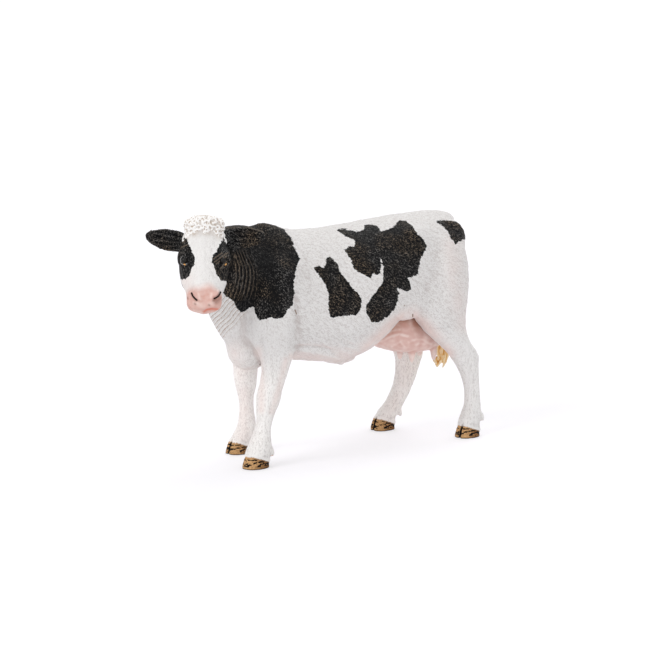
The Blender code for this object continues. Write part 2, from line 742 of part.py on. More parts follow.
def stand(parts, groups):
    """Moves the figure so that the middle of its outline lies over the origin."""
    graph = bpy.context.evaluated_depsgraph_get()
    low = Vector((math.inf,) * 3)
    high = Vector((-math.inf,) * 3)
    for obj in parts.objects:
        for corner in obj.evaluated_get(graph).bound_box:
            low = Vector(map(min, low, corner))
            high = Vector(map(max, high, corner))
    root = bpy.data.objects.new("figure", None)
    parts.objects.link(root)
    root.location = (-(low.x + high.x) / 2, -(low.y + high.y) / 2, 0)
    for group in groups:
        for obj in group.objects:
            if obj is not root:
                obj.parent = root


def main():
    for obj in list(bpy.data.objects):
        bpy.data.objects.remove(obj)
    parts = collection("toy_dairy_cow")
    cutters = collection("cutters")
    coat = material("white_coat", (0.78, 0.75, 0.72), 0.55)
    dark = material("black_coat", (0.025, 0.023, 0.022), 0.5)
    skin = material("udder_skin", (0.72, 0.47, 0.42), 0.5)

    master = master_form(cutters)
    udder_pocket(master, cutters)
    torso = piece("torso", master, coat, parts)
    for name in LEGS:
        leg_seam(name, master, torso, coat, parts, cutters)
    head = neck_seam(master, torso, coat, parts, cutters)
    ears(head, dark, parts, cutters)
    udder(skin, parts, cutters)
    tail(torso, coat, parts, cutters)
    for obj in parts.objects:
        obj.data.shade_smooth()
        obj.data.set_sharp_from_angle(angle=math.radians(50))
    stand(parts, (parts, cutters))


main()
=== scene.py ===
import math
import random

import bmesh
import bpy
import numpy as np
from mathutils import Matrix, Vector, noise
from mathutils.bvhtree import BVHTree


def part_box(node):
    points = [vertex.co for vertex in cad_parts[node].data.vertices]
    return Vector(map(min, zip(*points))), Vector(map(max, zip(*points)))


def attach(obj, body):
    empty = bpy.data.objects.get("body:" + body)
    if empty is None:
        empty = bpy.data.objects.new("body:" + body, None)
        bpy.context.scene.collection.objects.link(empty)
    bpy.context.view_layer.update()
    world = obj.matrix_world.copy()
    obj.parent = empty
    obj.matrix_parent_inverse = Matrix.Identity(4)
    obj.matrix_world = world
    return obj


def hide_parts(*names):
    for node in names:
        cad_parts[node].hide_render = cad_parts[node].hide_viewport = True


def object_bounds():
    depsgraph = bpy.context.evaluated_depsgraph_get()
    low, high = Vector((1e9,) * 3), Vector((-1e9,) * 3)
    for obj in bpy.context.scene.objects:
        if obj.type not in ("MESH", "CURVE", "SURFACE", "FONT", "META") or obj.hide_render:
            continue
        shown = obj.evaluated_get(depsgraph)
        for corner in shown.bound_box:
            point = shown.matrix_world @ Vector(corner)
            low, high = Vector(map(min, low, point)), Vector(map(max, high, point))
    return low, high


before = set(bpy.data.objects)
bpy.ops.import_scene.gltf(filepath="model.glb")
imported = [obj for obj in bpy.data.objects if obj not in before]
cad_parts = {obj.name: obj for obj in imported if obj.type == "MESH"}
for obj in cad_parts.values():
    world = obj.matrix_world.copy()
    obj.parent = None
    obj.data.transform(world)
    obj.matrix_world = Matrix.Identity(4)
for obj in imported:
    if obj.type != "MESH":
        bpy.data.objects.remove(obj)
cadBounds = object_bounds()
mm = 0.001
lowCorner, highCorner = (np.array(corner) / mm for corner in cadBounds)
bpy.ops.object.select_all(action="DESELECT")

# The camera stands where the photograph was taken. Its aim is set beside the middle of the figure.
photoCamera = {
    "azimuth": -35.0,
    "elevation": 10.5,
    "distance": 1200.0,
    "lens": 199.4,
    "sensor": 36.0,
    "aimBesideMiddle": (4.33, 0.4, -0.1),
    "photoSide": 650,
    "clipEnd": 10,
}
focal = photoCamera["lens"] / photoCamera["sensor"] * photoCamera["photoSide"]
middlePixel = photoCamera["photoSide"] / 2


def cameraAxes():
    turn = math.radians(photoCamera["azimuth"])
    rise = math.radians(photoCamera["elevation"])
    back = Vector((math.sin(turn) * math.cos(rise), -math.cos(turn) * math.cos(rise), math.sin(rise)))
    right = Vector((math.cos(turn), math.sin(turn), 0))
    return right, back.cross(right), back


def placeCamera():
    low, high = cadBounds
    aim = (low + high) / 2 + Vector(photoCamera["aimBesideMiddle"]) * mm
    right, up, back = cameraAxes()
    bpy.ops.object.camera_add(location=aim + back * photoCamera["distance"] * mm)
    camera = bpy.context.object
    camera.name = "photoCamera"
    camera.rotation_mode = "QUATERNION"
    camera.rotation_quaternion = Matrix((right, up, back)).transposed().to_quaternion()
    camera.data.lens = photoCamera["lens"]
    camera.data.sensor_width = photoCamera["sensor"]
    camera.data.clip_end = photoCamera["clipEnd"]
    bpy.context.scene.camera = camera
    return camera


camera = placeCamera()
eye = np.array(camera.location) / mm
rightward, upward, toCamera = (np.array(axis) for axis in cameraAxes())
print("camera placed")


def pixelsOf(points):  # where the photograph shows points given in millimetres
    view = points - eye
    depth = -(view @ toCamera)
    return middlePixel + focal * (view @ rightward) / depth, middlePixel - focal * (view @ upward) / depth


def leftOf(points):  # points of the right side, moved to where the left side has them
    return points * np.where(points[:, 1:2] > 0, (1, -1, 1), (1, 1, 1))


def smoothStep(low, high, value):
    share = np.clip((value - low) / (high - low), 0, 1)
    return share * share * (3 - 2 * share)


def bell(distance, width):
    return np.exp(-((distance / width) ** 2))


def readValues(rows, name, width, kind=np.float32):
    values = np.empty(len(rows) * width, kind)
    rows.foreach_get(name, values)
    return values.reshape(-1, width)


def placesOf(obj):
    return readValues(obj.data.vertices, "co", 3).astype(float) / mm


def normalsOf(obj):
    return readValues(obj.data.vertex_normals, "vector", 3).astype(float)


def edgesOf(obj):
    return readValues(obj.data.edges, "vertices", 2, np.int32)


def setPlaces(obj, places):
    obj.data.vertices.foreach_set("co", (places * mm).astype(np.float32).ravel())
    obj.data.update()


def neighbourMean(values, edges):
    total = np.zeros_like(values)
    for column in range(values.shape[1]):
        sums = np.bincount(edges[:, 0], values[edges[:, 1], column], len(values))
        total[:, column] = sums + np.bincount(edges[:, 1], values[edges[:, 0], column], len(values))
    count = np.bincount(edges.ravel(), minlength=len(values))
    return total / np.maximum(count, 1)[:, None]


def relaxed(values, edges, rounds, weight=0.5):  # the weight is one number, or one for each point
    for _ in range(rounds):
        values = values + (neighbourMean(values, edges) - values) * np.reshape(weight, (-1, 1))
    return values


def lineShares(across, down, line):  # distance to a line or a point, and the share of the line's length
    line = np.array(line, float)
    best = np.hypot(across - line[0][0], down - line[0][1])
    share = np.zeros(len(across))
    spans = np.linalg.norm(line[1:] - line[:-1], axis=1)
    passed = 0
    for first, last, span in zip(line, line[1:], spans):
        run = (last - first) / span
        along = np.clip((across - first[0]) * run[0] + (down - first[1]) * run[1], 0, span)
        gap = np.hypot(across - first[0] - run[0] * along, down - first[1] - run[1] * along)
        nearer = gap < best
        best = np.where(nearer, gap, best)
        share = np.where(nearer, (passed + along) / spans.sum(), share)
        passed += span
    return best, share


def lineDistance(across, down, *lines):  # distance to the nearest of some lines
    return np.min([lineShares(across, down, line)[0] for line in lines], axis=0)


def insideDistance(across, down, outline):  # distance to an outline, positive within it
    gap = lineDistance(across, down, [*outline, outline[0]])
    inside = np.zeros(len(across), bool)
    for (x0, y0), (x1, y1) in zip(outline, [*outline[1:], outline[0]]):
        if y0 == y1:
            continue
        crosses = (down < y0) != (down < y1)
        inside ^= crosses & (across < (x1 - x0) * (down - y0) / (y1 - y0) + x0)
    return np.where(inside, gap, -gap)


def strokes(across, down, rows, gather=np.maximum):  # each row: a line of pixels, its width, its strength
    total = np.zeros(len(across))
    for line, width, strength in rows:
        total = gather(total, strength * bell(lineDistance(across, down, line), width))
    return total


def furrow(gap, deep, width, rise, away, rimWidth):  # a groove with a raised rim at some distance
    return rise * bell(gap - away, rimWidth) - deep * bell(gap, width)


def grain(places, direction, pitch, stretch, seed):  # noise drawn out along the lie of the hair
    direction = np.array(direction, float) / np.linalg.norm(direction)
    along = places @ direction
    drawn = (places - np.outer(along, direction)) / pitch
    drawn += np.outer(along / (pitch * stretch), direction) + seed
    return np.array([noise.noise(place) for place in drawn.tolist()])


def selectOnly(objects):
    bpy.ops.object.select_all(action="DESELECT")
    for obj in objects:
        obj.select_set(True)
    bpy.context.view_layer.objects.active = objects[0]


def applied(obj, kind, **settings):
    selectOnly([obj])
    modifier = obj.modifiers.new(kind.title(), kind)
    for name, value in settings.items():
        setattr(modifier, name, value)
    bpy.ops.object.modifier_apply(modifier=modifier.name)
    return obj


def editWhole(obj, operation, **settings):  # one editing operation on a whole mesh
    selectOnly([obj])
    bpy.ops.object.mode_set(mode="EDIT")
    bpy.ops.mesh.select_all(action="SELECT")
    operation(**settings)
    bpy.ops.object.mode_set(mode="OBJECT")


def newObject(name, mesh):
    made = bpy.data.objects.new(name, mesh)
    bpy.context.scene.collection.objects.link(made)
    return made


def copyOfNode(node, name):
    copy = newObject(name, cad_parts[node].data.copy())
    copy.data.materials.clear()
    editWhole(copy, bpy.ops.mesh.remove_doubles, threshold=0.000002)
    return copy


def joined(objects, name):
    selectOnly(objects)
    bpy.ops.object.join()
    objects[0].name = name
    return objects[0]


def largestPart(obj):  # what a remesh leaves of inner walls goes
    selectOnly([obj])
    bpy.ops.mesh.separate(type="LOOSE")
    parts = sorted(bpy.context.selected_objects, key=lambda part: len(part.data.vertices))
    for part in parts[:-1]:
        bpy.data.objects.remove(part)
    return parts[-1]


def remeshed(obj, settings):
    voxel = settings["voxel"]
    return applied(obj, "REMESH", mode="VOXEL", voxel_size=voxel * mm)


def denseCopy(node, settings):  # a node's shape as a fine, softened mesh
    made = largestPart(remeshed(copyOfNode(node, node + "_made"), settings))
    setPlaces(made, relaxed(placesOf(made), edgesOf(made), settings["smoothing"]))
    return made


def setAttributes(obj, **fields):  # what the paint reads: one number for each point, or the same one for all
    for name, values in fields.items():
        made = obj.data.attributes.new(name, "FLOAT", "POINT")
        made.data.foreach_set("value", np.full(len(obj.data.vertices), values, np.float32))


def creviceOf(obj, rounds, normals):  # positive in grooves, negative on ridges
    points, lines = placesOf(obj), edgesOf(obj)
    bend = ((neighbourMean(points, lines) - points) * normals).sum(axis=1)[:, None]
    return relaxed(bend, lines, rounds)[:, 0] * 100


def hollowOf(obj, normals):  # the same for wide hollows: how far the surface lies below a smoother one
    points = placesOf(obj)
    return ((relaxed(points, edgesOf(obj), 60, 0.9) - points) * normals).sum(axis=1)


def finishPiece(obj, name, nodes, material):
    obj.name = name
    obj.data.name = name
    obj.data.materials.clear()
    obj.data.materials.append(material)
    selectOnly([obj])
    bpy.ops.object.shade_smooth()
    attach(obj, "root")
    if nodes:
        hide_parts(*nodes)


# The head's own directions, with its origin at the poll. Edges of the head are in millimetres along them.
headPose = {
    "yaw": 56.6,
    "pitch": 35.0,
    "pollFromMuzzle": (12.04, 14.95),
    "pollBelowTop": 2.9,
    "behind": (-19, -15.5),
    "beside": (-10.5, -9),
    "belowChin": (-33, -31),
    "abovePoll": (-8, -5),
}
headLow, headHigh = (np.array(corner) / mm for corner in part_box("head_neck"))
poll = np.array((*(headLow[:2] + headPose["pollFromMuzzle"]), headHigh[2] - headPose["pollBelowTop"]))


def headAxes():
    yaw, pitch = math.radians(headPose["yaw"]), math.radians(headPose["pitch"])
    facing = np.array((-math.cos(yaw), -math.sin(yaw), 0))
    top = np.array((0, 0, 1))
    down = facing * math.sin(pitch) - top * math.cos(pitch)
    outward = facing * math.cos(pitch) + top * math.sin(pitch)
    return np.cross(top, facing), down, outward


headLeft, headDown, headOut = headAxes()


def headShares(points):
    fromPoll = points - poll
    return fromPoll @ headLeft, fromPoll @ headDown, fromPoll @ headOut


def headMask(points):  # 1 on the head, 0 on the neck and the body
    left, down, out = headShares(points)
    measures = {"behind": out, "beside": -np.abs(left), "belowChin": -down, "abovePoll": down}
    return np.prod([smoothStep(*headPose[edge], values) for edge, values in measures.items()], axis=0)


def surfaceOf(node):
    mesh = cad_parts[node].data
    corners = [vertex.co / mm for vertex in mesh.vertices]
    return BVHTree.FromPolygons(corners, [tuple(face.vertices) for face in mesh.polygons])


headSurface = surfaceOf("head_neck")


def seenOnHead(across, down):  # the place on the head that the photograph shows at a pixel
    sight = rightward * (across - middlePixel) / focal + upward * (middlePixel - down) / focal - toCamera
    return np.array(headSurface.ray_cast(Vector(eye), Vector(sight))[0])


print("tools ready")

# The coat: torso, head and legs are one moulded and painted skin, so it is shaped as one and parted again.
coat = {
    "nodes": ("torso", "head_neck", "foreleg_left", "foreleg_right", "hindleg_left", "hindleg_right"),
    "grow": 0.2,
    "voxel": 0.36,
    "quickVoxel": 0.6,
    "smoothing": 18,
    "softness": 0.5,
    "footKept": 0.85,
    "footHeight": (11, 17),
    "headKept": 0.5,
    "navel": {"at": (341, 360), "reach": 13, "halfWidth": 4.5, "top": 34, "softness": 0.22},
    "legTop": (26, 42),
    "neckEnd": (-36, -14),
}


def makeSkin():
    grown = [copyOfNode(node, "grown") for node in coat["nodes"]]
    for copy in grown:
        applied(copy, "DISPLACE", strength=coat["grow"] * mm, mid_level=0)
    skin = largestPart(remeshed(joined(grown, "skin"), coat))
    setPlaces(skin, placesOf(skin) - normalsOf(skin) * coat["grow"])
    return skin


skin = makeSkin()
places = placesOf(skin)
edges = edgesOf(skin)
print("skin made,", len(places), "points")


def skinSoftness(points):  # feet, head and navel keep more of their form
    foot = 1 - smoothStep(*coat["footHeight"], points[:, 2])
    soft = coat["softness"] * (1 - coat["footKept"] * foot) * (1 - coat["headKept"] * headMask(points))
    navel = coat["navel"]
    near = lineDistance(*pixelsOf(points), [navel["at"]]) < navel["reach"]
    near &= (np.abs(points[:, 1]) < navel["halfWidth"]) & (points[:, 2] < navel["top"])
    return np.where(near, navel["softness"], soft)


softness = skinSoftness(places)
coarser = 1
places = relaxed(places, edges, round(coat["smoothing"] * coarser), softness)
print("skin smoothed")

# Anatomy of the trunk, drawn on the left side in pixels of the photograph and mirrored to the right side:
# line, width in pixels, height in millimetres (negative is a groove).
trunk = {
    "strength": 1.35,
    "taper": 0.18,
    "blunt": 0.25,
    "lines": [
        ([(291, 286), (296, 300), (299, 318), (298, 332), (294, 345), (288, 358)], 6.5, -0.45),
        ([(284, 292), (288, 308), (290, 325), (286, 342)], 7.0, 0.35),
        ([(296, 352), (308, 351), (322, 354), (334, 358), (343, 361)], 2.6, 0.3),
        ([(292, 348), (306, 346), (322, 348), (338, 353)], 2.4, -0.22),
        ([(350, 355), (362, 349), (375, 341), (388, 330), (397, 322)], 2.6, 0.28),
        ([(352, 345), (366, 336), (380, 325), (392, 312), (398, 300)], 5.0, -0.28),
        ([(441, 236), (437, 258), (437, 280), (441, 300), (447, 316)], 9.0, -0.3),
        ([(452, 246), (450, 270), (452, 296), (458, 318)], 8.0, 0.22),
        ([(300, 246), (305, 262), (309, 280), (311, 298), (310, 316)], 6.0, -0.25),
        ([(319, 240), (325, 262), (329, 284), (329, 306)], 5.0, -0.15),
        ([(337, 236), (344, 258), (349, 282), (349, 306)], 5.0, -0.15),
        ([(262, 246), (271, 262), (276, 284), (274, 304)], 6.0, -0.22),
        ([(252, 262), (262, 284), (264, 306), (256, 328), (252, 342)], 7.0, 0.25),
        ([(262, 334), (261, 345), (262, 356), (261, 370)], 3.5, -0.3),
        ([(268, 350), (277, 366), (281, 384), (275, 404)], 6.0, -0.2),
        ([(466, 352), (471, 366), (473, 384), (475, 404)], 4.0, -0.22),
        ([(476, 344), (478, 352), (476, 360)], 5.0, 0.22),
        ([(455, 338), (462, 350), (466, 362)], 4.0, -0.2),
    ],
}

# Where the skin is drawn up or down. Lifts are strokes in pixels, with heights in millimetres.
drawnSkin = {
    "crest": {"at": 264, "reach": 17, "rise": 1.5, "between": (71, 79)},
    "flank": [([(377, 341), (384, 334), (391, 327.5), (396, 323)], 5.0, 1.5), ([(409, 313)], 6.5, -0.9),
              ([(419, 326)], 4.0, 0.8)],
    "flankAside": (6, 10),
    "navel": [([(342.7, 361.5)], 3.4, -1.3)],
    "navelTop": 36,
    "navelHalfWidth": 5,
    "navelWidth": 2.2,
}


def drawSkin(points):  # the neck's ridge, the belly's fold that arches over the udder, a hook under the belly
    across, _ = pixelsOf(points)
    aside = np.abs(points[:, 1])
    crest = drawnSkin["crest"]
    lift = crest["rise"] * bell(across - crest["at"], crest["reach"]) * (1 - headMask(points))
    lift *= smoothStep(*crest["between"], points[:, 2])
    flank = strokes(*pixelsOf(leftOf(points)), drawnSkin["flank"], np.add)
    low = (points[:, 2] < drawnSkin["navelTop"]) & (aside < drawnSkin["navelHalfWidth"])
    navel = strokes(*pixelsOf(points * (1, 0, 1)), drawnSkin["navel"], np.add) * low
    points[:, 2] += lift + flank * smoothStep(*drawnSkin["flankAside"], aside)
    points[:, 2] += navel * bell(aside, drawnSkin["navelWidth"])
    return points


def shapeTrunk(points, normals):
    across, down = pixelsOf(leftOf(points))
    move = np.zeros(len(points))
    for line, width, height in trunk["lines"]:
        gap, share = lineShares(across, down, line)
        ends = np.clip(np.minimum(share, 1 - share) / trunk["taper"], trunk["blunt"], 1)
        move += trunk["strength"] * height * bell(gap, width) * ends
    outside = smoothStep(2, 6, np.abs(points[:, 1])) * (1 - headMask(points))
    move *= outside * smoothStep(0.15, 0.55, np.abs(normals[:, 1]))
    return relaxed(points + normals * move[:, None], edges, 2, softness)


# Folds of the neck, counted across it in the photograph: black ones that hang from the ear, with the pixel
# column of the first and their spacing at some rows, and slanting ones on the white throat.
neckFolds = {
    "rows": (246, 257, 267, 277, 290, 302),
    "first": (227, 230, 232.5, 232.5, 229, 224),
    "spacing": (2.7, 3.0, 3.4, 3.6, 3.9, 4.1),
    "count": 8,
    "rowsBegin": (246, 255),
    "rowsEnd": (303, 290),
    "hangDepth": 0.17,
    "slantFrom": (232, 300),
    "slantAcross": (0.73, 0.68),
    "slantSpacing": 3.6,
    "slantWave": (0.14, 0.3),
    "slantCount": (6.5, 4.5),
    "slantBegin": (294, 300),
    "slantEnd": (352, 336),
    "slantAside": (250, 240),
    "slantDepth": 0.08,
}


def neckCounts(points, normals):  # number of the fold, and how strong the folds are there, for both kinds
    across, down = pixelsOf(points)
    seen = smoothStep(0.02, 0.25, normals @ toCamera) * (1 - headMask(points))
    rows, count = neckFolds["rows"], neckFolds["count"]
    hang = (across - np.interp(down, rows, neckFolds["first"])) / np.interp(down, rows, neckFolds["spacing"])
    hangShare = smoothStep(-0.6, 0.3, hang) * smoothStep(count, count - 3, hang) * seen
    hangShare *= smoothStep(*neckFolds["rowsBegin"], down) * smoothStep(*neckFolds["rowsEnd"], down)
    aside, below = across - neckFolds["slantFrom"][0], down - neckFolds["slantFrom"][1]
    run, fall = neckFolds["slantAcross"]
    height, pace = neckFolds["slantWave"]
    slant = (aside * run + below * fall) / neckFolds["slantSpacing"]
    slant += height * np.sin((below * run - aside * fall) * pace)
    slantShare = smoothStep(*neckFolds["slantCount"], slant) * smoothStep(*neckFolds["slantAside"], across)
    slantShare *= smoothStep(*neckFolds["slantBegin"], down) * smoothStep(*neckFolds["slantEnd"], down) * seen
    return {"hang": hang, "hangShare": hangShare, "slant": slant, "slantShare": slantShare}


def shapeNeck(points, normals):
    counts = neckCounts(points, normals)
    move = np.zeros(len(points))
    for kind in ("hang", "slant"):
        move += neckFolds[kind + "Depth"] * np.cos(counts[kind] * math.tau) * counts[kind + "Share"]
    return points + normals * move[:, None]


# The face, in pixels of the photograph where a line is given and in millimetres on the head otherwise.
# Furrows: depth and width, then the height, distance and width of the rim. Side 1 is the animal's left.
face = {
    "nostrils": [[(191.6, 293.0), (192.6, 295.8), (194.8, 298.4), (196.8, 300.2)],
                 [(220.6, 292.2), (218.8, 295.8), (216.4, 297.6), (214.2, 298.6)]],
    "nostrilFurrow": (0.8, 1.15, 0.30, 2.5, 1.1),
    "mouth": [(187.5, 306.5), (191, 309.8), (196, 311.6), (202, 311.6), (206.5, 309.8), (211, 308.8),
              (217, 309.2), (221, 306.8)],
    "mouthFurrow": (0.35, 0.95, 0.18, 2.2, 1.3),
    "relief": [
        ([(202.5, 240), (203.0, 262), (203.0, 282)], 6.0, 0.3),
        ([(205.5, 240), (206.0, 262), (205.5, 280)], 1.8, -0.12),
        ([(204.3, 293), (204.0, 299), (204.3, 305)], 1.6, -0.16),
        ([(197.5, 303), (200.5, 305.5)], 3.6, 0.26),
        ([(209.0, 303), (211.5, 303.5)], 3.2, 0.22),
        ([(190.5, 284), (189.0, 290)], 3.0, -0.22),
        ([(217.5, 283), (220.5, 289)], 3.0, -0.22),
        ([(195.5, 268), (194.5, 277)], 2.6, -0.18),
        ([(213.5, 268), (214.5, 277)], 2.6, -0.18),
    ],
    "browLines": [[(212.9, 259.3), (217.1, 256.4), (222.1, 252.9)],
                  [(214.3, 262.1), (219.3, 258.6), (225, 254.3), (227.9, 252.9)],
                  [(216.4, 263.8), (222.1, 259.6), (226.4, 256.6)],
                  [(220.5, 268.5), (224.0, 264.5), (226.8, 261)],
                  [(176.5, 246), (180.5, 243), (185, 241)], [(178, 250.5), (182, 247), (187, 245)]],
    "browHeight": 0.10,
    "browWidth": 0.9,
    "eyes": {-1: (182.0, 260), 1: (225.4, 260.4)},
    "eyeTurns": {-1: 0.88, 1: 0.96},
    "eyeRadius": 1.0,
    "eyeStandsOut": 0.16,
    "eyeReach": 5.5,
    "lidLong": 1.3,
    "lidTall": 0.88,
    "lidFurrow": (0.7, 0.75, 0.18, 1.25, 0.26),
    "lidCrease": (0.07, 1.85, 0.22),
    "muzzleDown": (20.3, 24.4),
}


def eyeLook(side):
    aside = face["eyeTurns"][side]
    return headLeft * side * aside + headOut * math.sqrt(1 - aside ** 2)


def eyeCentre(side):
    return seenOnHead(*face["eyes"][side]) + eyeLook(side) * (face["eyeStandsOut"] - face["eyeRadius"])


def setEye(points, side):  # a socket, and lids that are longer than they are tall
    look = eyeLook(side)
    slant = headDown * 0.96 + headLeft * side * 0.1
    lengthwise = slant - look * (slant @ look)
    lengthwise /= np.linalg.norm(lengthwise)
    crosswise = np.cross(look, lengthwise)
    fromEye = points - eyeCentre(side)
    near = (np.linalg.norm(fromEye, axis=1) < face["eyeReach"]) * (fromEye @ look > -1.5)
    ring = np.hypot(fromEye @ lengthwise / face["lidTall"], fromEye @ crosswise / face["lidLong"])
    depth, away, width = face["lidCrease"]
    move = furrow(ring, *face["lidFurrow"]) - depth * bell(ring - away, width)
    return points + look * (move * near)[:, None]


def shapeFace(points, normals):
    across, down = pixelsOf(points)
    seen = smoothStep(0.05, 0.3, normals @ toCamera) * headMask(points)
    move = strokes(across, down, face["relief"], np.add)
    for line in face["nostrils"]:
        move += furrow(lineDistance(across, down, line), *face["nostrilFurrow"])
    move += furrow(lineDistance(across, down, face["mouth"]), *face["mouthFurrow"])
    brows = [(line, face["browWidth"], face["browHeight"]) for line in face["browLines"]]
    move += strokes(across, down, brows, np.add)
    points = points + normals * (move * seen)[:, None]
    return setEye(setEye(points, -1), 1)


def muzzleMask(points):  # the pink of the muzzle, which begins in a wavy line down the face
    left, down, out = headShares(points)
    wave = 0.5 * np.sin(left * 0.9) - 0.03 * left ** 2
    back = smoothStep(-10.5, -7.5, out - 0.15 * (down - 20))
    return smoothStep(*face["muzzleDown"], down + wave) * headMask(points) * back


# Feet: the hoof flares below the coronet, its toe is split, and its wall is ringed.
hoof = {
    "toeHeight": 4.8,
    "heelHeight": 1.6,
    "toeDip": 0.9,
    "flare": 0.34,
    "pinch": 0.16,
    "step": 0.20,
    "cleftWidth": 0.42,
    "cleftDepth": 1.1,
    "cleftAside": {"foreleg_left": 1.9, "hindleg_left": -0.8},
    "rings": 0.85,
    "ringDepth": 0.05,
    "ringCentre": (0.62, 1.2),
    "ringLength": 3.6,
    "reach": 8,
    "top": 9,
}


def footOf(node):  # middle, front and rear of a sole
    feet = np.array([vertex.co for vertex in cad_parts[node].data.vertices]) / mm
    sole = feet[feet[:, 2] < 0.05]
    low, high = sole.min(axis=0), sole.max(axis=0)
    return (low + high) / 2, low[0], high[0]


feet = {node: footOf(node) for node in coat["nodes"][2:]}


def hoofCover(points):  # height above the coronet, share towards the toe, way from the cleft, ring
    cover = [np.full(len(points), far) for far in (50.0, 0.0, 0.0, 3.0)]
    x, y, z = points.T
    for node, (middle, front, rear) in feet.items():
        near = (np.hypot(x - middle[0], y - middle[1]) < hoof["reach"]) * (z < hoof["top"])
        share = np.clip((x - front) / (rear - front), 0, 1)
        coronet = hoof["toeHeight"] + (hoof["heelHeight"] - hoof["toeHeight"]) * share ** 1.1
        coronet -= hoof["toeDip"] * bell(share, 0.14)
        centre = front + hoof["ringCentre"][0] * (rear - front)
        ring = np.hypot((x - centre) / hoof["ringLength"], z - hoof["ringCentre"][1])
        side = y - middle[1] - hoof["cleftAside"].get(node, 0)
        values = (z - coronet, 1 - share, side, ring)
        cover = [np.where(near, value, old) for value, old in zip(values, cover)]
    return cover


def shapeFeet(points, normals):
    above, toe, side, ring = hoofCover(points)
    wall = (above < 0) * (normals[:, 2] > -0.6)
    lower = np.clip(-above / hoof["toeHeight"], 0, 1)
    move = wall * (hoof["flare"] * lower - hoof["pinch"]) + hoof["step"] * bell(above - 0.55, 0.5)
    move += wall * hoof["ringDepth"] * np.sin(ring / hoof["rings"] * math.tau)
    cleft = bell(side, hoof["cleftWidth"]) * smoothStep(0.5, 0.85, toe) * smoothStep(-1.3, 0.1, -above)
    points = points + normals * (1, 1, 0) * move[:, None]
    points[:, 0] += cleft * hoof["cleftDepth"]
    return points


# Fur: single hairs and tufts of them, in millimetres. It slants on the trunk, and hangs on legs and neck.
fur = {
    "depth": 0.15,
    "pitch": 0.85,
    "stretch": 4.5,
    "tufts": {"share": 0.6, "pitch": 2.4, "stretch": 3},
    "wave": {"depth": 0.14, "pitch": 6.5, "stretch": 1.5, "seed": 4.4},
    "trunk": {"lie": (0.80, 0.05, -0.60), "seeds": (3.1, 8.7)},
    "leg": {"lie": (0.05, 0.0, -1.0), "seeds": (5.3, 1.9)},
}


def hairFlow(points):  # how far the hair hangs straight down
    leg = 1 - smoothStep(*coat["legTop"], points[:, 2])
    neck = 1 - smoothStep(*coat["neckEnd"], points[:, 0])
    return np.clip(leg + neck, 0, 1)


def hairOf(points, kind):
    lie, (hairSeed, tuftSeed) = kind["lie"], kind["seeds"]
    tufts = fur["tufts"]
    coarse = grain(points, lie, fur["pitch"] * tufts["pitch"], tufts["stretch"], tuftSeed)
    return grain(points, lie, fur["pitch"], fur["stretch"], hairSeed) + tufts["share"] * coarse


def shapeHair(points, normals):
    hanging = hairFlow(points)
    bumps = hairOf(points, fur["trunk"]) * (1 - hanging) + hairOf(points, fur["leg"]) * hanging
    smooth = smoothStep(-0.2, 0.6, hoofCover(points)[0]) * (1 - muzzleMask(points))
    wave = fur["wave"]
    soft = wave["depth"] * grain(points, fur["leg"]["lie"], wave["pitch"], wave["stretch"], wave["seed"])
    return points + normals * ((bumps * fur["depth"] + soft) * smooth)[:, None]


places = drawSkin(places)
setPlaces(skin, places)
for shape in (shapeTrunk, shapeNeck, shapeFace, shapeFeet, shapeHair):
    places = shape(places, normalsOf(skin))
    setPlaces(skin, places)
setPlaces(skin, np.clip(places, lowCorner, highCorner))
print("skin sculpted")

